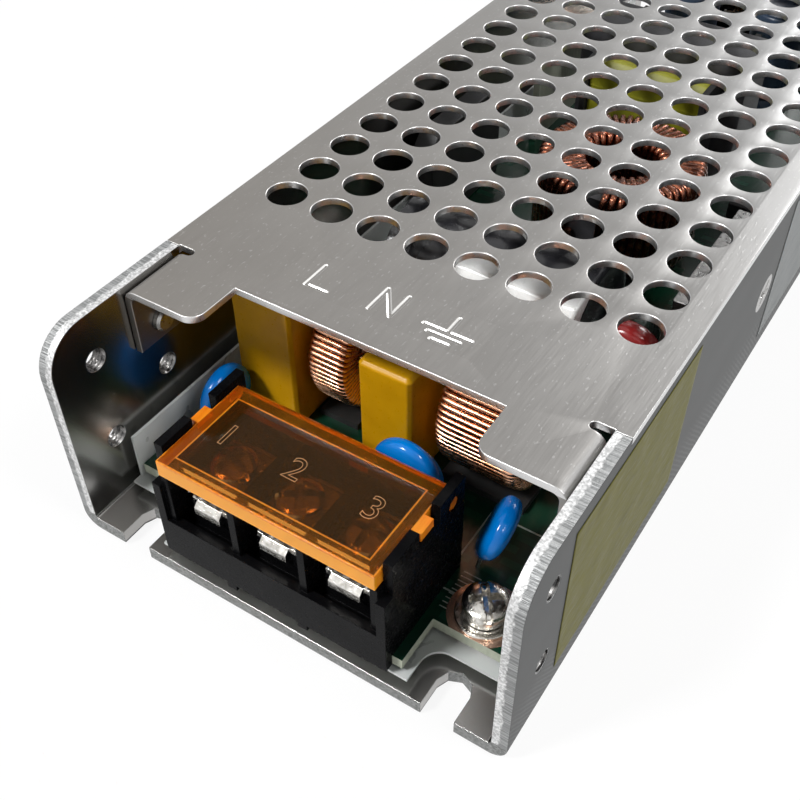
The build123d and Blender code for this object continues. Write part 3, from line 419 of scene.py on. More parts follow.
def wall_label(name, dark, light, border):
    """Thin printed label left bare: faint fibres, soft wrinkles, and darker patches where the wrinkle pattern
    is high.
    """
    p = Paint(name)
    fibre = p.noise(0.4, (1, 3, 1), 4.0)
    crease = p.noise(2.6, (1, 2.4, 0.8), 2.0)
    tone = p.blend(fibre.span(0.3, 0.7), dark, light)
    # The colour called border is no printed border: it darkens the label where the wrinkle pattern is high.
    tone = p.blend(crease.span(0.6, 0.75) * 0.35, tone, border)
    height = crease * 0.12 + fibre * 0.01
    return p.finish(p.coat(tone, fibre.span(0.3, 0.7, 0.4, 0.55), height, Specular_IOR_Level=0.08))


def wound_tape():
    """Yellow polyester tape round the winding, lap on lap."""
    p = Paint("wound_tape")
    lap = ((p.z + p.noise(4.0) * 0.6) * (2 * PI / 2.4)).sine().span(0.85, 1.0)
    tone = p.blend(p.noise(2.0), (0.25, 0.25, 0.012), (0.34, 0.33, 0.025))
    return p.finish(p.coat(p.blend(lap * 0.5, tone, (0.25, 0.24, 0.02)), 0.3, lap * 0.04, Coat_Weight=0.3))


def clear_part(name, tint, rough=0.03):
    """Clear glass or plastic with a light tint."""
    p = Paint(name)
    wave = p.noise(1.2)
    rough = wave.span(0.3, 0.7, rough, rough + 0.05)
    return p.finish(p.coat(tint, rough, wave * 0.01, Transmission_Weight=0.9))


# Mesh making
def new_piece(name, points, faces, sharp=40.0):
    """A closed mesh object at the origin, from points in millimetres and arrays of point numbers."""
    mesh = bpy.data.meshes.new(name)
    mesh.from_pydata((np.asarray(points) * MM).tolist(), [], [f for group in faces for f in group.tolist()])
    return set_down(name, mesh, sharp)


def set_down(name, mesh, sharp=40.0):
    """Weld a mesh, turn its faces outwards, shade it smooth up to an angle and put it in the scene."""
    work = bmesh.new()
    work.from_mesh(mesh)
    bmesh.ops.remove_doubles(work, verts=work.verts, dist=1e-6)
    bmesh.ops.dissolve_degenerate(work, edges=work.edges, dist=1e-7)
    bmesh.ops.recalc_face_normals(work, faces=work.faces)
    work.to_mesh(mesh)
    work.free()
    mesh.shade_smooth()
    mesh.set_sharp_from_angle(angle=np.radians(sharp))
    piece = bpy.data.objects.new(name, mesh)
    bpy.context.scene.collection.objects.link(piece)
    return piece


def grid_faces(rows, columns, round_rows=False, round_columns=True, first=0):
    """Four-cornered faces over a grid of points, row by row, joined round where asked."""
    i = np.arange(rows if round_rows else rows - 1)[:, None]
    j = np.arange(columns if round_columns else columns - 1)[None, :]
    below, beside = (i + 1) % rows, (j + 1) % columns
    corners = [i * columns + j, i * columns + beside, below * columns + beside, below * columns + j]
    return first + np.stack(np.broadcast_arrays(*corners), -1).reshape(-1, 4)


def joined(*parts):
    """Points and faces of several grids as one: each part is a grid of points and its round flags."""
    points, faces, first = [], [], 0
    for grid, round_rows, round_columns in parts:
        rows, columns = grid.shape[:2]
        points.append(grid.reshape(-1, 3))
        faces.append(grid_faces(rows, columns, round_rows, round_columns, first))
        first += rows * columns
    return np.concatenate(points), faces


def lathe(profile, sides=48):
    """Profile of (radius, height) turned about Z: point = (r cos a, r sin a, z)."""
    profile = np.asarray(profile, float)
    a = np.arange(sides) * 2 * PI / sides
    r, z = profile[:, :1], profile[:, 1:]
    return np.stack([r * np.cos(a), r * np.sin(a), z + 0 * a], -1)


def stood(grid, origin, x_axis=(1, 0, 0), z_axis=(0, 0, 1)):
    """A grid of local points carried to a place whose own X and Z point along the axes given."""
    z = np.array(z_axis, float) / np.linalg.norm(z_axis)
    x = np.array(x_axis, float) - np.dot(x_axis, z) * z
    x /= np.linalg.norm(x)
    return np.asarray(origin) + grid @ np.array([x, np.cross(z, x), z])


def tube(path, radius, sides, hint):
    """Round section carried along a path: point = centre + r (cos a * n + sin a * b), n from the hint."""
    path = np.asarray(path, float)
    along = np.gradient(path, axis=0)
    along /= np.linalg.norm(along, axis=1, keepdims=True)
    hint = np.broadcast_to(np.asarray(hint, float), path.shape)
    n = hint - (hint * along).sum(1, keepdims=True) * along
    n /= np.linalg.norm(n, axis=1, keepdims=True)
    b = np.cross(along, n)
    a = np.arange(sides) * 2 * PI / sides
    width = np.full(len(path), float(radius))
    path, n, b = (np.concatenate([v[:1], v, v[-1:]]) for v in (path, n, b))
    width = np.concatenate([[0.0], width, [0.0]])
    spread = np.cos(a)[None, :, None] * n[:, None] + np.sin(a)[None, :, None] * b[:, None]
    return path[:, None] + width[:, None, None] * spread


def arc(centre, radius, start, end, steps=8):
    """Points on an arc, angles in degrees."""
    a = np.radians(np.linspace(start, end, steps))
    return np.stack([centre[0] + radius * np.cos(a), centre[1] + radius * np.sin(a)], -1)


def dress(piece, material, *nodes, replace=True):
    """Give a new piece its material, and the body of the CAD nodes that it stands for."""
    piece.data.materials.clear()
    piece.data.materials.append(material)
    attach(piece, frame["nodes"][nodes[0]]["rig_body"])
    if replace:
        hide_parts(*nodes)
    return piece


def softened(node, width, material, segments=2, angle=30.0):
    """A copy of a CAD node, welded, its flat facets joined and its edges rounded by width."""
    mesh = frame["nodes"][node].data.copy()
    mesh.name = node + "_form"
    work = bmesh.new()
    work.from_mesh(mesh)
    bmesh.ops.remove_doubles(work, verts=work.verts, dist=2e-6)
    bmesh.ops.dissolve_limit(work, angle_limit=np.radians(1.0), verts=work.verts, edges=work.edges)
    work.to_mesh(mesh)
    work.free()
    mesh.shade_smooth()
    mesh.set_sharp_from_angle(angle=np.radians(angle))
    piece = bpy.data.objects.new(node + "_form", mesh)
    bpy.context.scene.collection.objects.link(piece)
    bevel = piece.modifiers.new("edge", "BEVEL")
    bevel.width = width * MM
    bevel.segments = segments
    bevel.limit_method = "ANGLE"
    bevel.angle_limit = np.radians(angle)
    bevel.harden_normals = True
    return dress(piece, material, node)


def repaint(material, *nodes):
    """Put a material on CAD nodes that stay as they are."""
    for node in nodes:
        mesh = frame["nodes"][node].data
        mesh.materials.clear()
        mesh.materials.append(material)


# Camera, light and floor
camera_data = bpy.data.cameras.new("camera")
camera_data.lens = LENS
camera_data.sensor_width = 36.0
camera_data.shift_x = LENS_SHIFT
camera_data.clip_start = 0.005
camera_data.clip_end = 20.0
camera = bpy.data.objects.new("camera", camera_data)
bpy.context.scene.collection.objects.link(camera)
sight_right, sight_ahead = Vector(EYE_RIGHT).normalized(), Vector(EYE_AHEAD).normalized()
sight_up = sight_right.cross(sight_ahead)
sight = Matrix((sight_right, sight_up, -sight_ahead)).transposed().to_4x4()
sight.translation = Vector(EYE) * MM
camera.matrix_world = sight
bpy.context.scene.camera = camera
bpy.context.scene.view_settings.view_transform = "Standard"

world = bpy.data.worlds.new("studio")
bpy.context.scene.world = world
sky = Tree(world)
strength = sky.seen_rays().span(0.0, 1.0, SKY_LIGHT, 1.0)
sky.finish(sky.node("Background", {}, {"Color": (1.0, 1.0, 1.0, 1.0), "Strength": strength}), "World")


def soft_lamp(name, place, aim, size, power):
    """A square soft box that looks at a point."""
    data = bpy.data.lights.new(name, "AREA")
    data.shape = "SQUARE"
    data.size = size
    data.energy = power
    lamp = bpy.data.objects.new(name, data)
    bpy.context.scene.collection.objects.link(lamp)
    lamp.location = place
    lamp.rotation_euler = (Vector(aim) - Vector(place)).to_track_quat("-Z", "Y").to_euler()


for name, setting in LAMPS.items():
    soft_lamp(name, *setting)

floor_mesh = bpy.data.meshes.new("floor")
signs = ((-1, -1), (1, -1), (1, 1), (-1, 1))
floor_corners = [(x * FLOOR_REACH, y * FLOOR_REACH, -FLOOR_GAP) for x, y in signs]
floor_mesh.from_pydata(floor_corners, [], [(0, 1, 2, 3)])
floor = bpy.data.objects.new("floor", floor_mesh)
bpy.context.scene.collection.objects.link(floor)
p = Paint("pale_floor")
matt = p.node("BsdfDiffuse", {}, {"Color": (0.9, 0.9, 0.9, 1.0)})
lit = p.node("Emission", {}, {"Color": (1.0, 1.0, 1.0, 1.0), "Strength": 1.0})
floor_mesh.materials.append(p.finish(p.node("MixShader", {}, {0: p.seen_rays() * 0.9, 1: matt, 2: lit})))


# Cover
def quarter_outline():
    """Flat outline of a quarter of the cover as (across, in), from the recess corner to the side edge."""
    flange_edge = BEND_START + BEND_RADIUS * PI / 2 + FLANGE_DROP
    return np.concatenate([
        [(RECESS_HALF, RECESS_IN)],
        arc((RECESS_HALF + LOBE_CORNER, LOBE_IN + LOBE_CORNER), LOBE_CORNER, 180, 270, 9),
        [(flange_edge, LOBE_IN), (flange_edge, FLANGE_END_IN)],
        arc((BEND_START, RELIEF_IN), RELIEF_RADIUS, -90, -270, 9),
        [(29.0, RELIEF_IN + RELIEF_RADIUS), (29.0, PLATE_IN), (HALF_WIDTH, PLATE_IN)],
    ])


def cover_outline():
    """The quarter mirrored and turned into the whole outline, with the sheet on its left."""
    q = quarter_outline() - (0, HALF_LENGTH)
    return np.concatenate([q, (q * (1, -1))[::-1], -q, (q * (-1, 1))[::-1]])


def inset(loop, amount):
    """Loop moved to its left by amount: each corner moves by (n1 + n2) / (1 + n1.n2), capped when sharp."""
    step = np.roll(loop, -1, 0) - loop
    step /= np.linalg.norm(step, axis=1, keepdims=True)
    left = np.stack([-step[:, 1], step[:, 0]], -1)
    before = np.roll(left, 1, 0)
    return loop + amount * (left + before) / np.maximum(1 + (left * before).sum(1, keepdims=True), 0.3)


def flat_fill(loops):
    """Delaunay triangles between closed loops: those whose middle lies inside an odd number of them."""
    points = np.concatenate(loops)
    edges, first = [], 0
    for loop in loops:
        i = np.arange(len(loop))
        edges.append(np.stack([first + i, first + (i + 1) % len(loop)], -1))
        first += len(loop)
    edges = np.concatenate(edges)
    net = delaunay_2d_cdt([Vector(q) for q in points], edges.tolist(), [], 0, 1e-6, True)
    back = np.array([ids[0] if ids else -1 for ids in net[3]])
    triangles = back[np.array([f for f in net[2]])]
    middles = points[triangles].mean(1)
    a, b = points[edges[:, 0]], points[edges[:, 1]]
    crossings = np.zeros(len(middles), int)
    for chunk in np.array_split(np.arange(len(middles)), 24):
        x, y = middles[chunk, :1], middles[chunk, 1:]
        spans = (a[:, 1] > y) != (b[:, 1] > y)
        rise = np.where(b[:, 1] == a[:, 1], 1.0, b[:, 1] - a[:, 1])
        crossings[chunk] = (spans & (x < a[:, 0] + (y - a[:, 1]) * (b[:, 0] - a[:, 0]) / rise)).sum(1)
    return triangles[crossings % 2 == 1]


def stamped_patch():
    """Fine grid over L, N and earth: z = top - sink * fall(distance to the nearest stroke) + ridge."""
    strokes = np.array([
        ((-11.6, 28.8), (-11.6, 24.7)), ((-11.6, 24.7), (-8.6, 24.7)),
        ((-2.9, 25.0), (-2.9, 29.2)), ((-2.9, 29.2), (0.0, 25.0)), ((0.0, 25.0), (0.0, 29.2)),
        ((6.9, 29.0), (6.9, 26.3)), ((3.8, 26.3), (10.0, 26.3)),
        ((4.8, 25.35), (9.0, 25.35)), ((5.8, 24.4), (8.0, 24.4)),
    ]) - (0, HALF_LENGTH)
    across, inward = (np.arange(*limits, SIGN_STEP) for limits in SIGN_FIELD)
    x, y = np.meshgrid(across, inward - HALF_LENGTH, indexing="ij")
    spot = np.stack([x, y], -1)[:, :, None]
    start, run = strokes[:, 0], strokes[:, 1] - strokes[:, 0]
    share = np.clip(((spot - start) * run).sum(-1) / (run**2).sum(-1), 0, 1)
    away = np.linalg.norm(spot - start - share[..., None] * run, axis=-1).min(-1) - SIGN_WIDTH / 2
    wall = np.clip(0.5 - away / 0.24, 0, 1)
    ridge = 0.02 * np.exp(-(((away - 0.22) / 0.1) ** 2))
    z = TOP - SIGN_SINK * wall * wall * (3 - 2 * wall) - 0.02 + ridge
    z[0], z[-1], z[:, 0], z[:, -1] = (TOP,) * 4
    rim = np.concatenate([spot[:-1, 0, 0], spot[-1, :-1, 0], spot[:0:-1, -1, 0], spot[0, :0:-1, 0]])
    return np.stack([x, y, z], -1), rim


def cover_sheet():
    """Vented sheet: rounded rims on every loop, sunk signs, then its lobes folded down round the bend."""
    lip, rim_steps, vent_sides = 0.14, 4, 40
    turn = np.arange(vent_sides) * -2 * PI / vent_sides
    circle = np.stack([np.cos(turn), np.sin(turn)], -1)
    columns = (np.arange(VENT_COLUMNS) - (VENT_COLUMNS - 1) / 2) * VENT_PITCH
    rows = VENT_FIRST_IN - HALF_LENGTH + np.arange(VENT_ROWS) * VENT_PITCH
    vents = [circle * VENT_RADIUS + (x, y) for x in columns for y in rows]
    screw_x = BEND_START + BEND_RADIUS * PI / 2 + TOP - BEND_RADIUS - COVER_SCREW_HEIGHT
    screw_y = HALF_LENGTH - COVER_SCREW_IN
    screw_hole = circle[::2] * (WALL_SCREW_RADIUS + 0.05)
    screws = [screw_hole + (x, y) for x in (-screw_x, screw_x) for y in (-screw_y, screw_y)]
    loops = [cover_outline(), *vents, *screws]
    patch, patch_rim = stamped_patch()
    points, faces, first = [], [], 0

    def add_ring_stack(stack):
        nonlocal first
        grid = np.asarray(stack)
        points.append(grid.reshape(-1, 3))
        faces.append(grid_faces(grid.shape[0], grid.shape[1], False, True, first))
        first += grid.shape[0] * grid.shape[1]

    def level(loop, height):
        return np.concatenate([loop, np.full((len(loop), 1), height)], 1)

    def add_flat(flat_loops, height):
        nonlocal first
        triangles = flat_fill(flat_loops)
        spread = np.concatenate(flat_loops)
        points.append(level(spread, height))
        faces.append(first + triangles)
        first += len(spread)

    a = np.linspace(0, PI / 2, rim_steps)
    for loop in loops:
        tops = [level(inset(loop, lip * (1 - np.sin(t))), TOP - lip * (1 - np.cos(t))) for t in a]
        foot = [level(loop, TOP - COVER_SHEET + lip * 0.5), level(inset(loop, lip * 0.5), TOP - COVER_SHEET)]
        add_ring_stack(tops + foot)
    points.append(patch.reshape(-1, 3))
    faces.append(grid_faces(*patch.shape[:2], False, False, first))
    first += patch.shape[0] * patch.shape[1]
    add_flat([inset(loop, lip) for loop in loops] + [patch_rim], TOP)
    add_flat([inset(loop, lip * 0.5) for loop in loops], TOP - COVER_SHEET)
    mesh = bpy.data.meshes.new("cover_sheet")
    mesh.from_pydata((np.concatenate(points) * MM).tolist(), [], [f for g in faces for f in g.tolist()])
    work = bmesh.new()
    work.from_mesh(mesh)
    bmesh.ops.remove_doubles(work, verts=work.verts, dist=1e-6)
    arc_length = BEND_RADIUS * PI / 2
    for score in np.linspace(0, arc_length, 8):
        for side in (-1, 1):
            bmesh.ops.bisect_plane(
                work,
                geom=work.verts[:] + work.edges[:] + work.faces[:],
                dist=1e-7,
                plane_co=(side * (BEND_START + score) * MM, 0, 0),
                plane_no=(1, 0, 0),
            )
    work.to_mesh(mesh)
    work.free()
    flat = np.empty(len(mesh.vertices) * 3, np.float32)
    mesh.vertices.foreach_get("co", flat)
    flat = flat.reshape(-1, 3) / MM
    side = np.sign(flat[:, 0])
    past = np.abs(flat[:, 0]) - BEND_START
    lobe = (past > 0) & (np.abs(flat[:, 1]) > HALF_LENGTH - RELIEF_IN)
    turned = np.clip(past / BEND_RADIUS, 0, PI / 2)
    reach = BEND_RADIUS - (TOP - flat[:, 2])
    straight = np.maximum(past - arc_length, 0)
    folded_x = side * (BEND_START + reach * np.sin(turned))
    folded_z = TOP - BEND_RADIUS + reach * np.cos(turned) - straight
    flat[:, 0] = np.where(lobe, folded_x, flat[:, 0])
    flat[:, 2] = np.where(lobe, folded_z, flat[:, 2])
    mesh.vertices.foreach_set("co", (flat * MM).astype(np.float32).ravel())
    return set_down("cover_sheet", mesh, 34.0)


zinc = plated("zinc_plate", (0.30, 0.30, 0.295), (0.50, 0.49, 0.48), 0.24)
nickel = plated("nickel_plate", (0.50, 0.48, 0.44), (0.82, 0.80, 0.76), 0.12, 0.008)
dress(cover_sheet(), satin_sheet(), "cover")
softened("chassis", 0.16, folded_case())


# Screws
def driver_head(radius, height, recess, cross, slot, base, sides=72):
    """Screw head as a grid: a low dome over the head, less a cross of tapering arms and a straight slot."""
    rows = np.concatenate([np.linspace(0.0, 0.97, 26), [0.99, 1.0]])
    a = np.arange(sides) * 2 * PI / sides
    r = rows[:, None] * radius
    x, y = r * np.cos(a), r * np.sin(a)
    dome = height * (1 - 0.32 * rows[:, None] ** 4 - 0.25 * (rows[:, None] > 0.985))
    near, far = np.minimum(np.abs(x), np.abs(y)), np.maximum(np.abs(x), np.abs(y))
    arm_side = np.clip((cross - near) / (0.3 * cross), 0, 1)
    arm = arm_side * np.clip((0.72 * radius - far) / (0.25 * radius), 0, 1)
    groove = np.clip((slot - np.abs(x)) / (0.3 * slot + 1e-6), 0, 1) * (slot > 0)
    z = dome - recess * np.maximum(arm, 0.55 * groove)
    top = np.stack([x, y, z], -1)
    return np.concatenate([top, lathe(base, sides)])


def screw_tip(shank, start, length):
    """Profile of the shank from its start down to its blunt end."""
    return [(shank, start), (shank, 0.3 - length), (shank * 0.8, -length), (0, -length)]


def pan_screw(radius, height, shank, length):
    """Pan-headed combination screw standing on its seat at the origin."""
    rim = [(radius, 0.3 * height), (radius * 0.99, 0.06), (radius * 0.95, 0)]
    base = rim + screw_tip(shank, 0, length)
    return driver_head(radius, height, 0.75 * height, 0.16 * radius, 0.13 * radius, base)


def flat_screw(length):
    """Countersunk screw, its face at the origin and its shank down."""
    head, shank = WALL_SCREW_HEAD, WALL_SCREW_RADIUS
    base = [(head, -0.12)] + screw_tip(shank, shank - head, length)
    return driver_head(head, 0.001, 1.2, 0.17 * head, 0.0, base)


def screws_at(name, local, places, node, material):
    """Several like screws as one piece."""
    grids = [(stood(local, place, x_axis, z_axis), False, True) for place, x_axis, z_axis in places]
    return dress(new_piece(name, *joined(*grids), sharp=36.0), material, node)


cover_screw_y = HALF_LENGTH - COVER_SCREW_IN
wall_places = [
    ((side * HALF_WIDTH, end * cover_screw_y, COVER_SCREW_HEIGHT), (0, 0.9, 0.5), (side, 0, 0))
    for side in (-1, 1)
    for end in (-1, 1)
]
screws_at("cover_screw_set", flat_screw(4.0), wall_places, "cover_screws", zinc)
device_places = [
    ((HALF_WIDTH, station - HALF_LENGTH, DEVICE_SCREW_HEIGHT), (0, 0.4, 0.9), (1, 0, 0))
    for station in DEVICE_SCREW_INS
]
screws_at("device_screw_set", flat_screw(9.2), device_places, "device_screws", zinc)
post_y = HALF_LENGTH - POST_IN
board_places = [
    ((x, y, BOARD_TOP + (EARTH_WASHERS if x > 0 and y < 0 else 0)), (0.8, 0.6, 0), (0, 0, 1))
    for x in (-POST_X, POST_X)
    for y in (-post_y, post_y)
]
screws_at("board_screw_set", pan_screw(2.8, 2.0, 1.5, 3.6), board_places, "board_screws", nickel)
for end, places in POLES.items():
    turned = -1 if end == "input" else 1
    for number, x in enumerate(places, start=1):
        spot = (x, turned * (HALF_LENGTH - SCREW_IN), CLAMP_TOP)
        twist = 0.4 + 0.9 * number
        screws_at(
            f"{end}_screw_{number}_head",
            pan_screw(2.9, 2.1, 1.7, 4.9),
            [(spot, (np.cos(twist), np.sin(twist), 0), (0, 0, 1))],
            f"{end}_screw_{number}",
            nickel,
        )


# Washers under the earth screw
def shut(grid):
    """The rows of a grid, with each end row drawn together into its middle as a cap."""
    first, last = (np.broadcast_to(grid[n].mean(0), grid[n].shape)[None] for n in (0, -1))
    return np.concatenate([first, grid, last])


def split_washer(outer, inner, thick, rise, steps=48):
    """Flat-sided ring cut once and sprung open: z grows with the angle from one cut end to the other."""
    t = np.linspace(0, 1, steps)
    a = np.radians(96 + 348 * t)
    corners = [(inner, 0), (outer, 0.1), (outer, thick - 0.1), (inner, thick)]
    ring = [np.stack([r * np.cos(a), r * np.sin(a), z + rise * t], -1) for r, z in corners]
    return shut(np.stack(ring, 1))


earth_spot = np.array((POST_X, -post_y, BOARD_TOP))
flat_ring = lathe([(1.6, 0), (3.5, 0), (3.6, 0.1), (3.6, 0.4), (3.5, 0.5), (1.6, 0.5)], 56)
flat_piece = new_piece("earth_flat_ring", *joined((flat_ring + earth_spot, True, True)))
dress(flat_piece, nickel, "earth_flat_washer")
spring = split_washer(2.6, 1.6, 0.75, 0.12) + earth_spot + (0, 0, 0.5)
dress(new_piece("earth_split_ring", *joined((spring, False, True))), nickel, "earth_spring_washer")


# Windings
def winding(outer, hole, height, wire, turns, start, sweep, lap, steps=28):
    """One wire wound round a ring about Z. The turn count carries it round the ring, each turn is a
    superellipse of power 8 in the plane through the axis, and on the inside every other turn rides lower."""
    t = np.linspace(0, turns, turns * steps + 1)
    around = start + sweep * t / turns
    c, d = np.cos(2 * PI * t), np.sin(2 * PI * t)
    middle, half_r, half_z = (outer + hole) / 2, (outer - hole) / 2 - wire, height / 2 - wire
    radial = middle + half_r * np.sign(c) * np.abs(c) ** 0.25
    radial = radial + lap * (np.floor(t) % 2) * np.clip(-2 * c, 0, 1)
    axial = half_z * np.sign(d) * np.abs(d) ** 0.25
    path = np.stack([radial * np.cos(around), radial * np.sin(around), axial], -1)
    side = np.stack([-np.sin(around), np.cos(around), 0 * t], -1)
    return tube(path, wire, 6, side)


bright_copper = copper_wire("bright_copper", (0.62, 0.27, 0.13), (0.92, 0.52, 0.33))
dark_copper = copper_wire("dark_copper", (0.20, 0.06, 0.035), (0.42, 0.15, 0.08))
chokes = ((9.5, 6.0, 0.36, 32), (10.0, 11.8, 0.37, 34))
for number, (middle, (outer, width, wire, turns)) in enumerate(zip(CHOKE_SPOTS, chokes), start=1):
    gap = np.arcsin(1.7 / outer)
    halves = [
        winding(outer, 4.4, width, wire, turns, -PI / 2 + gap, PI - 2 * gap, wire * 1.6),
        winding(outer, 4.4, width, wire, turns, PI / 2 + gap, PI - 2 * gap, wire * 1.6),
    ]
    grids = [(stood(half, middle, (0, 1, 0), (1, 0, 0)), False, True) for half in halves]
    wires = new_piece(f"choke_{number}_wire", *joined(*grids), sharp=80.0)
    dress(wires, bright_copper, f"choke_{number}_winding")
coil = winding(13.0, 5.2, 15.0, 0.55, 58, -PI / 2 + 0.19, 2 * PI - 0.38, 0.9)
coil_piece = new_piece("coil_wire", *joined((stood(coil, COIL_SPOT), False, True)), sharp=80.0)
dress(coil_piece, dark_copper, "coil_winding")


# Dipped parts
def dipped_disc(radius, thick, drop, sides=56, rows=20):
    """Dipped disc about Y: round edge, faces as a superellipse, outline let down towards the legs below."""
    a = np.arange(sides) * 2 * PI / sides
    t = np.linspace(-PI / 2, PI / 2, rows)
    below = np.exp(-((((a + PI / 2 + PI) % (2 * PI) - PI) / 0.5) ** 2))
    reach = radius * (1 + drop * below)
    out = np.cos(t)[:, None] ** 0.55
    y = np.sign(np.sin(t)) * np.abs(np.sin(t)) ** 0.8 * thick / 2
    return np.stack([reach * out * np.cos(a), 0 * out + y[:, None] + 0 * a, reach * out * np.sin(a)], -1)


def leg(start, end, radius=0.3):
    """Straight leg wire down to the board."""
    return tube(np.linspace(start, end, 6), radius, 8, (1, 0.1, 0))


def turned_disc(grid, middle, face):
    """The disc's own Y laid along the face direction, its Z kept as upright as it can be."""
    y = np.array(face, float) / np.linalg.norm(face)
    z = np.array((0, 0, 1.0)) - y[2] * y
    z /= np.linalg.norm(z)
    return np.asarray(middle) + grid @ np.array([np.cross(y, z), y, z])


blue_tones = (0.0, 0.14, 0.50), (0.0, 0.19, 0.62)
blue_coat = moulding("blue_coat", *blue_tones, 0.1, 1.2, 0.008, Specular_IOR_Level=0.35)
red_coat = moulding("red_coat", (0.20, 0.012, 0.012), (0.30, 0.02, 0.02), 0.14, 1.2, 0.008)
green_coat = moulding("green_coat", (0.02, 0.03, 0.025), (0.03, 0.05, 0.04), 0.2, 1.2, 0.008)
across_x, across_y = (1, 0, 0), (0, 1, 0)
disc_grids, leg_grids = [], []


def two_legs(middle, face, drop):
    """Two straight legs under a disc, at either side of its middle."""
    for side in (-LEG_APART, LEG_APART):
        foot = np.array(middle) + side * np.cross(face, (0, 0, 1))
        leg_grids.append((leg(foot - (0, 0, drop), (*foot[:2], BOARD_TOP)), False, True))


for place, face in zip(DISC_SPOTS, (across_x, across_y, across_y)):
    disc_grids.append((turned_disc(dipped_disc(4.4, 3.0, 0.06), place, face), False, True))
    two_legs(place, face, 3)
lean = turned_disc(dipped_disc(4.0, 3.0, 0.42), LEANING_SPOT, (0.92, 0.19, -0.34))
disc_grids.append((lean, False, True))
for y in (-68.1, -63.1):
    leg_grids.append((leg((18.0, y, 9.6), (17.4, y, BOARD_TOP), 0.25), False, True))
dress(new_piece("blue_discs", *joined(*disc_grids), sharp=60.0), blue_coat, "disc_capacitors")
for name, node, middle, face, radius, thick, coat in (
    ("varistor_coat", "varistor", VARISTOR_SPOT, across_y, 5.5, 4.4, red_coat),
    ("limiter_coat", "inrush_limiter", LIMITER_SPOT, across_x, 5.5, 4.0, green_coat),
):
    grid = turned_disc(dipped_disc(radius, thick, 0.06), middle, face)
    dress(new_piece(name, *joined((grid, False, True)), sharp=60.0), coat, node)
    two_legs(middle, face, radius - 1)
dress(new_piece("tinned_legs", *joined(*leg_grids), sharp=60.0), zinc, "disc_capacitors", replace=False)


# Cans and fuse
def can(radius, height, groove, sides=64):
    """Sleeved can: rolled shoulders, a crimped groove near one end and a lid sunk inside the sleeve's rim."""
    lid = 0.72 * radius
    return lathe(
        [
            (0, 0), (0.9 * radius, 0), (radius, 0.35), (radius, groove - 0.9), (radius - 0.5, groove),
            (radius, groove + 0.9), (radius, height - 0.5), (0.97 * radius, height - 0.12),
            (0.9 * radius, height), (lid + 0.25, height), (lid, height - 0.25), (0, height - 0.25),
        ],
        sides,
    )


black_sleeve = moulding("black_sleeve", (0.010, 0.010, 0.012), (0.022, 0.022, 0.025), 0.16, 0.8, 0.002)
blue_sleeve = moulding("can_sleeve", (0.03, 0.05, 0.09), (0.06, 0.09, 0.14), 0.25, 0.8, 0.002)
bulk = stood(can(9.4, 30.0, 4.0), BULK_SPOT, (0, 1, 0), (1, 0, 0))
dress(new_piece("bulk_can", *joined((bulk, False, True)), sharp=50.0), black_sleeve, "bulk_capacitor")
output_cans = [(can(5.0, 19.0, 3.0, 48) + (*place, BOARD_TOP), False, True) for place in CAN_PLACES]
dress(new_piece("output_can_set", *joined(*output_cans), sharp=50.0), blue_sleeve, "output_capacitors")
fuse_axes = {"x_axis": (1, 0, 0), "z_axis": (0, 1, 0)}
glass_tube = lathe([(0, -9), (2.0, -9), (2.3, -8.7), (2.3, 8.7), (2.0, 9), (0, 9)], 40)
cap_profile = np.array([(0, 4.9), (2.4, 4.9), (2.6, 5.1), (2.6, 9.8), (2.4, 10), (0, 10)])
caps = [lathe(cap_profile * (1, side), 40) for side in (-1, 1)]
fuse_glass = clear_part("fuse_glass", (0.9, 0.95, 0.95))
glass_piece = new_piece("fuse_tube", *joined((stood(glass_tube, FUSE_SPOT, **fuse_axes), False, True)))
dress(glass_piece, fuse_glass, "fuse")
cap_grids = [(stood(c, FUSE_SPOT, **fuse_axes), False, True) for c in caps]
dress(new_piece("fuse_caps", *joined(*cap_grids)), nickel, "fuse", replace=False)

# Mouldings, board and the rest
black_tones = (0.002, 0.002, 0.0025), (0.005, 0.005, 0.0055)
black_moulding = moulding("black_moulding", *black_tones, 0.2, 0.6, 0.003, Specular_IOR_Level=0.03)
mustard_tones = (0.66, 0.33, 0.003), (0.76, 0.39, 0.005)
mustard = moulding("mustard_case", *mustard_tones, 0.26, 0.5, 0.003, Specular_IOR_Level=0.3)
black_bobbin = moulding("black_bobbin", (0.012, 0.012, 0.012), (0.025, 0.025, 0.025), 0.5, 0.3, 0.02)
ferrite = moulding("ferrite", (0.03, 0.03, 0.033), (0.06, 0.06, 0.065), 0.45, 0.25, 0.03)
epoxy = moulding("epoxy_body", (0.012, 0.012, 0.013), (0.025, 0.025, 0.027), 0.42, 0.2, 0.02)
silicone = moulding("silicone", (0.62, 0.63, 0.62), (0.78, 0.79, 0.78), 0.22, 1.5, 0.02)
grey_pad = moulding("grey_pad", (0.25, 0.27, 0.30), (0.33, 0.35, 0.38), 0.7, 0.3, 0.02)
trimmer_blue = moulding("trimmer_blue", (0.01, 0.08, 0.32), (0.015, 0.11, 0.4), 0.25, 0.5, 0.01)
rotor_white = moulding("rotor_white", (0.6, 0.6, 0.55), (0.72, 0.72, 0.67), 0.3, 0.5, 0.01)
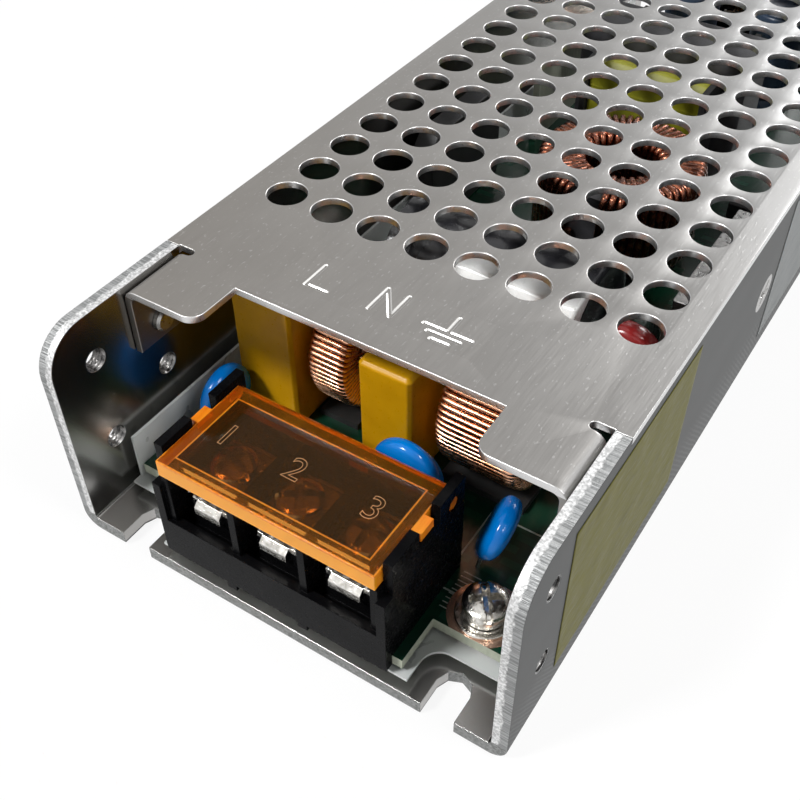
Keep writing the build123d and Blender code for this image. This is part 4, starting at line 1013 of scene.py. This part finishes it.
# The clamps' nickel runs from near black to bright in random patches: painted shade for the rib valleys and
# painted highlights for their glints.
nickel_with_painted_glints = plated("ribbed_nickel_painted_glints", (0.04, 0.037, 0.033), (0.72, 0.69, 0.63), 0.14, 0.01)
numeral_amber = moulding("numeral_amber", (0.42, 0.22, 0.09), (0.55, 0.30, 0.14), 0.2, 0.6, 0.003)
amber = {end: amber_flap(end + "_amber", *size) for end, size in FLAP_SIZES.items()}
for end in POLES:
    softened(f"{end}_terminal_block", 0.16, black_moulding)
    softened(f"{end}_terminal_flap", 0.14, amber[end])
    softened(f"{end}_terminal_plates", 0.25, nickel, 4)
    for number in range(1, len(POLES[end]) + 1):
        softened(f"{end}_clamp_{number}", 0.12, nickel_with_painted_glints)
for number in (1, 2):
    softened(f"film_capacitor_{number}", 0.35, mustard, 3)
    repaint(ferrite, f"choke_{number}_core")
    repaint(black_bobbin, f"choke_{number}_base")
repaint(board_lacquer(), "circuit_board", "control_board")
repaint(milky_film(), "insulation_sheet")
repaint(nickel, "board_posts")
repaint(black_bobbin, "coil_base", "transformer_bobbin")
repaint(ferrite, "coil_core")
softened("transformer_core", 0.3, ferrite)
softened("transformer_winding", 0.3, wound_tape())
repaint(grey_pad, "thermal_pads")
softened("transistors", 0.15, epoxy)
softened("rectifiers", 0.15, epoxy)
softened("transistor_clamp_bar", 0.25, zinc)
softened("rectifier_clamp_bar", 0.25, zinc)
softened("bridge_rectifier", 0.3, epoxy)
softened("optocoupler", 0.2, epoxy)
softened("silicone_bead", 1.0, silicone, 4, 20.0)
softened("trimmer_body", 0.2, trimmer_blue)
softened("trimmer_rotor", 0.1, rotor_white)
softened("pilot_lamp", 0.1, clear_part("green_lens", (0.2, 0.8, 0.25), 0.08))


# Ribs pressed in the front of each clamp
def clamp_ribs(seed, pitch=0.8, rise=0.3):
    """Ring round a clamp's front; points move out by rise * |2 frac(x / pitch) - 1| and a jag per rib."""
    rng = np.random.default_rng(seed)
    x = np.linspace(-3.35, 3.35, 85)
    base = np.array([
        (5.4, 15.6), (3.6, 15.7), (3.05, 15.62), (2.85, 15.3),
        (2.85, 14.75), (3.05, 14.4), (3.5, 14.4), (5.4, 15.1),
    ])
    out = np.array([(0, 0.5), (0, 1), (-0.5, 0.8), (-1, 0.3), (-1, 0), (-0.5, -0.3), (0, 0), (0, 0)])
    rib = np.floor(x / pitch).astype(int)
    jag = rng.uniform(-0.12, 0.3, rib.max() - rib.min() + 1)[rib - rib.min()]
    push = rise * np.abs(2 * (x / pitch - rib) - 1) + jag
    ring = base[None] + out[None] * push[:, None, None]
    return shut(np.concatenate([np.broadcast_to(x[:, None, None], (*ring.shape[:2], 1)), ring], -1))


for end, places in POLES.items():
    facing = 1 if end == "input" else -1
    for number, x in enumerate(places, start=1):
        ribs = clamp_ribs(number) * (facing, facing, 1) + (x, -facing * HALF_LENGTH, 0)
        piece = new_piece(f"{end}_clamp_{number}_ribs", *joined((ribs, False, True)), sharp=25.0)
        dress(piece, nickel_with_painted_glints, f"{end}_clamp_{number}", replace=False)


# Labels
def label_sheet(name, start_in, length, low, high, seed):
    """Thin sheet on the right wall, x = wall + gentle waves: a sum of sines along and up it."""
    rng = np.random.default_rng(seed)
    y, z = np.meshgrid(np.linspace(0, length, 90), np.linspace(0, high - low, 60), indexing="ij")
    wave, limits = 0, ((0.3, 1), (0.2, 0.9), (-0.9, 0.9), (0, 6))
    for _ in range(7):
        height, along, up, start = (rng.uniform(*pair) for pair in limits)
        wave = wave + height * np.sin(along * y + up * z + start)
    rim = np.minimum(np.minimum(y, length - y), np.minimum(z, high - low - z))
    x = HALF_WIDTH + 0.05 + 0.02 * np.clip(wave, -2, 2) * np.clip(rim, 0, 1)
    grid = np.stack([x, y + start_in - HALF_LENGTH, z + low], -1)
    points, faces = grid.reshape(-1, 3), [grid_faces(90, 60, False, False)]
    piece = new_piece(name, points, faces)
    solid = piece.modifiers.new("thickness", "SOLIDIFY")
    solid.thickness = 0.05 * MM
    solid.offset = 0.0
    return piece


olive = wall_label("olive_label", (0.105, 0.098, 0.022), (0.145, 0.135, 0.034), (0.065, 0.06, 0.018))
grey_label = wall_label("grey_label", (0.20, 0.21, 0.21), (0.27, 0.28, 0.28), (0.15, 0.16, 0.16))
dress(label_sheet("olive_sticker", 10.2, 32.2, 5.2, 28.6, 5), olive, "yellow_sticker")
dress(label_sheet("bare_label", 76.0, 48.0, 5.2, 28.6, 6), grey_label, "plain_label")


# Numerals on the flaps
def numeral(text, height, line):
    """Outline of a numeral as a thin round bead, in its own plane, centred on the origin."""
    curve = bpy.data.curves.new("numeral", "FONT")
    curve.body = text
    curve.size = height
    curve.fill_mode = "NONE"
    curve.bevel_depth = line
    curve.bevel_resolution = 1
    curve.resolution_u = 4
    holder = bpy.data.objects.new("numeral", curve)
    bpy.context.scene.collection.objects.link(holder)
    bpy.context.view_layer.update()
    mesh = bpy.data.meshes.new_from_object(holder.evaluated_get(bpy.context.evaluated_depsgraph_get()))
    bpy.data.objects.remove(holder)
    points = np.array([v.co for v in mesh.vertices])
    points[:, :2] -= (points[:, :2].max(0) + points[:, :2].min(0)) / 2
    faces = [np.array([q.vertices[:] for q in mesh.polygons if len(q.vertices) == n]) for n in (3, 4)]
    return points, [f for f in faces if len(f)]


for end, places in POLES.items():
    facing = 1 if end == "input" else -1
    points, faces, first = [], [], 0
    for number, x in enumerate(places, start=1):
        bead, sides = numeral(str(number), 4.6, 0.045)
        shift = facing * NUMERAL_SHIFT[number - 1]
        middle = (x + shift, -facing * (HALF_LENGTH - NUMERAL_IN), FLAP_TOP + 0.03)
        points.append(bead * (facing, facing, 1) + middle)
        faces += [f + first for f in sides]
        first += len(bead)
    piece = new_piece(f"{end}_numerals", np.concatenate(points), faces)
    dress(piece, numeral_amber, f"{end}_terminal_flap", replace=False)


# Threads cut in the tapped holes of the walls
def wall_thread(length=1.9, radius=1.5, pitch=0.5, sides=32):
    """Thin sleeve whose inner face is a zigzag of the thread's pitch, closed into a ring."""
    turns = int(length / pitch * 2)
    z = np.linspace(0.05, length, turns + 1)
    inner = [(radius - 0.02 - 0.16 * (n % 2), h) for n, h in enumerate(z)]
    return lathe(inner + [(radius, length), (radius, 0.05)], sides)


thread_grids = []
for side in (-1, 1):
    for end in (-1, 1):
        for inward, height in TAPPED_PLACES:
            spot = (side * (HALF_WIDTH - SHEET), end * (HALF_LENGTH - inward), height)
            thread_grids.append((stood(wall_thread(), spot, (0, 1, 0), (side, 0, 0)), True, True))
# Darker than the plated metal, with pale patches: painted shade inside the tapped holes and painted glints on
# the threads.
thread_with_painted_shade = plated("thread_with_painted_shade", (0.06, 0.06, 0.06), (0.42, 0.41, 0.4), 0.2, 0.01)
dress(new_piece("wall_threads", *joined(*thread_grids)), thread_with_painted_shade, "chassis", replace=False)

bpy.context.view_layer.update()
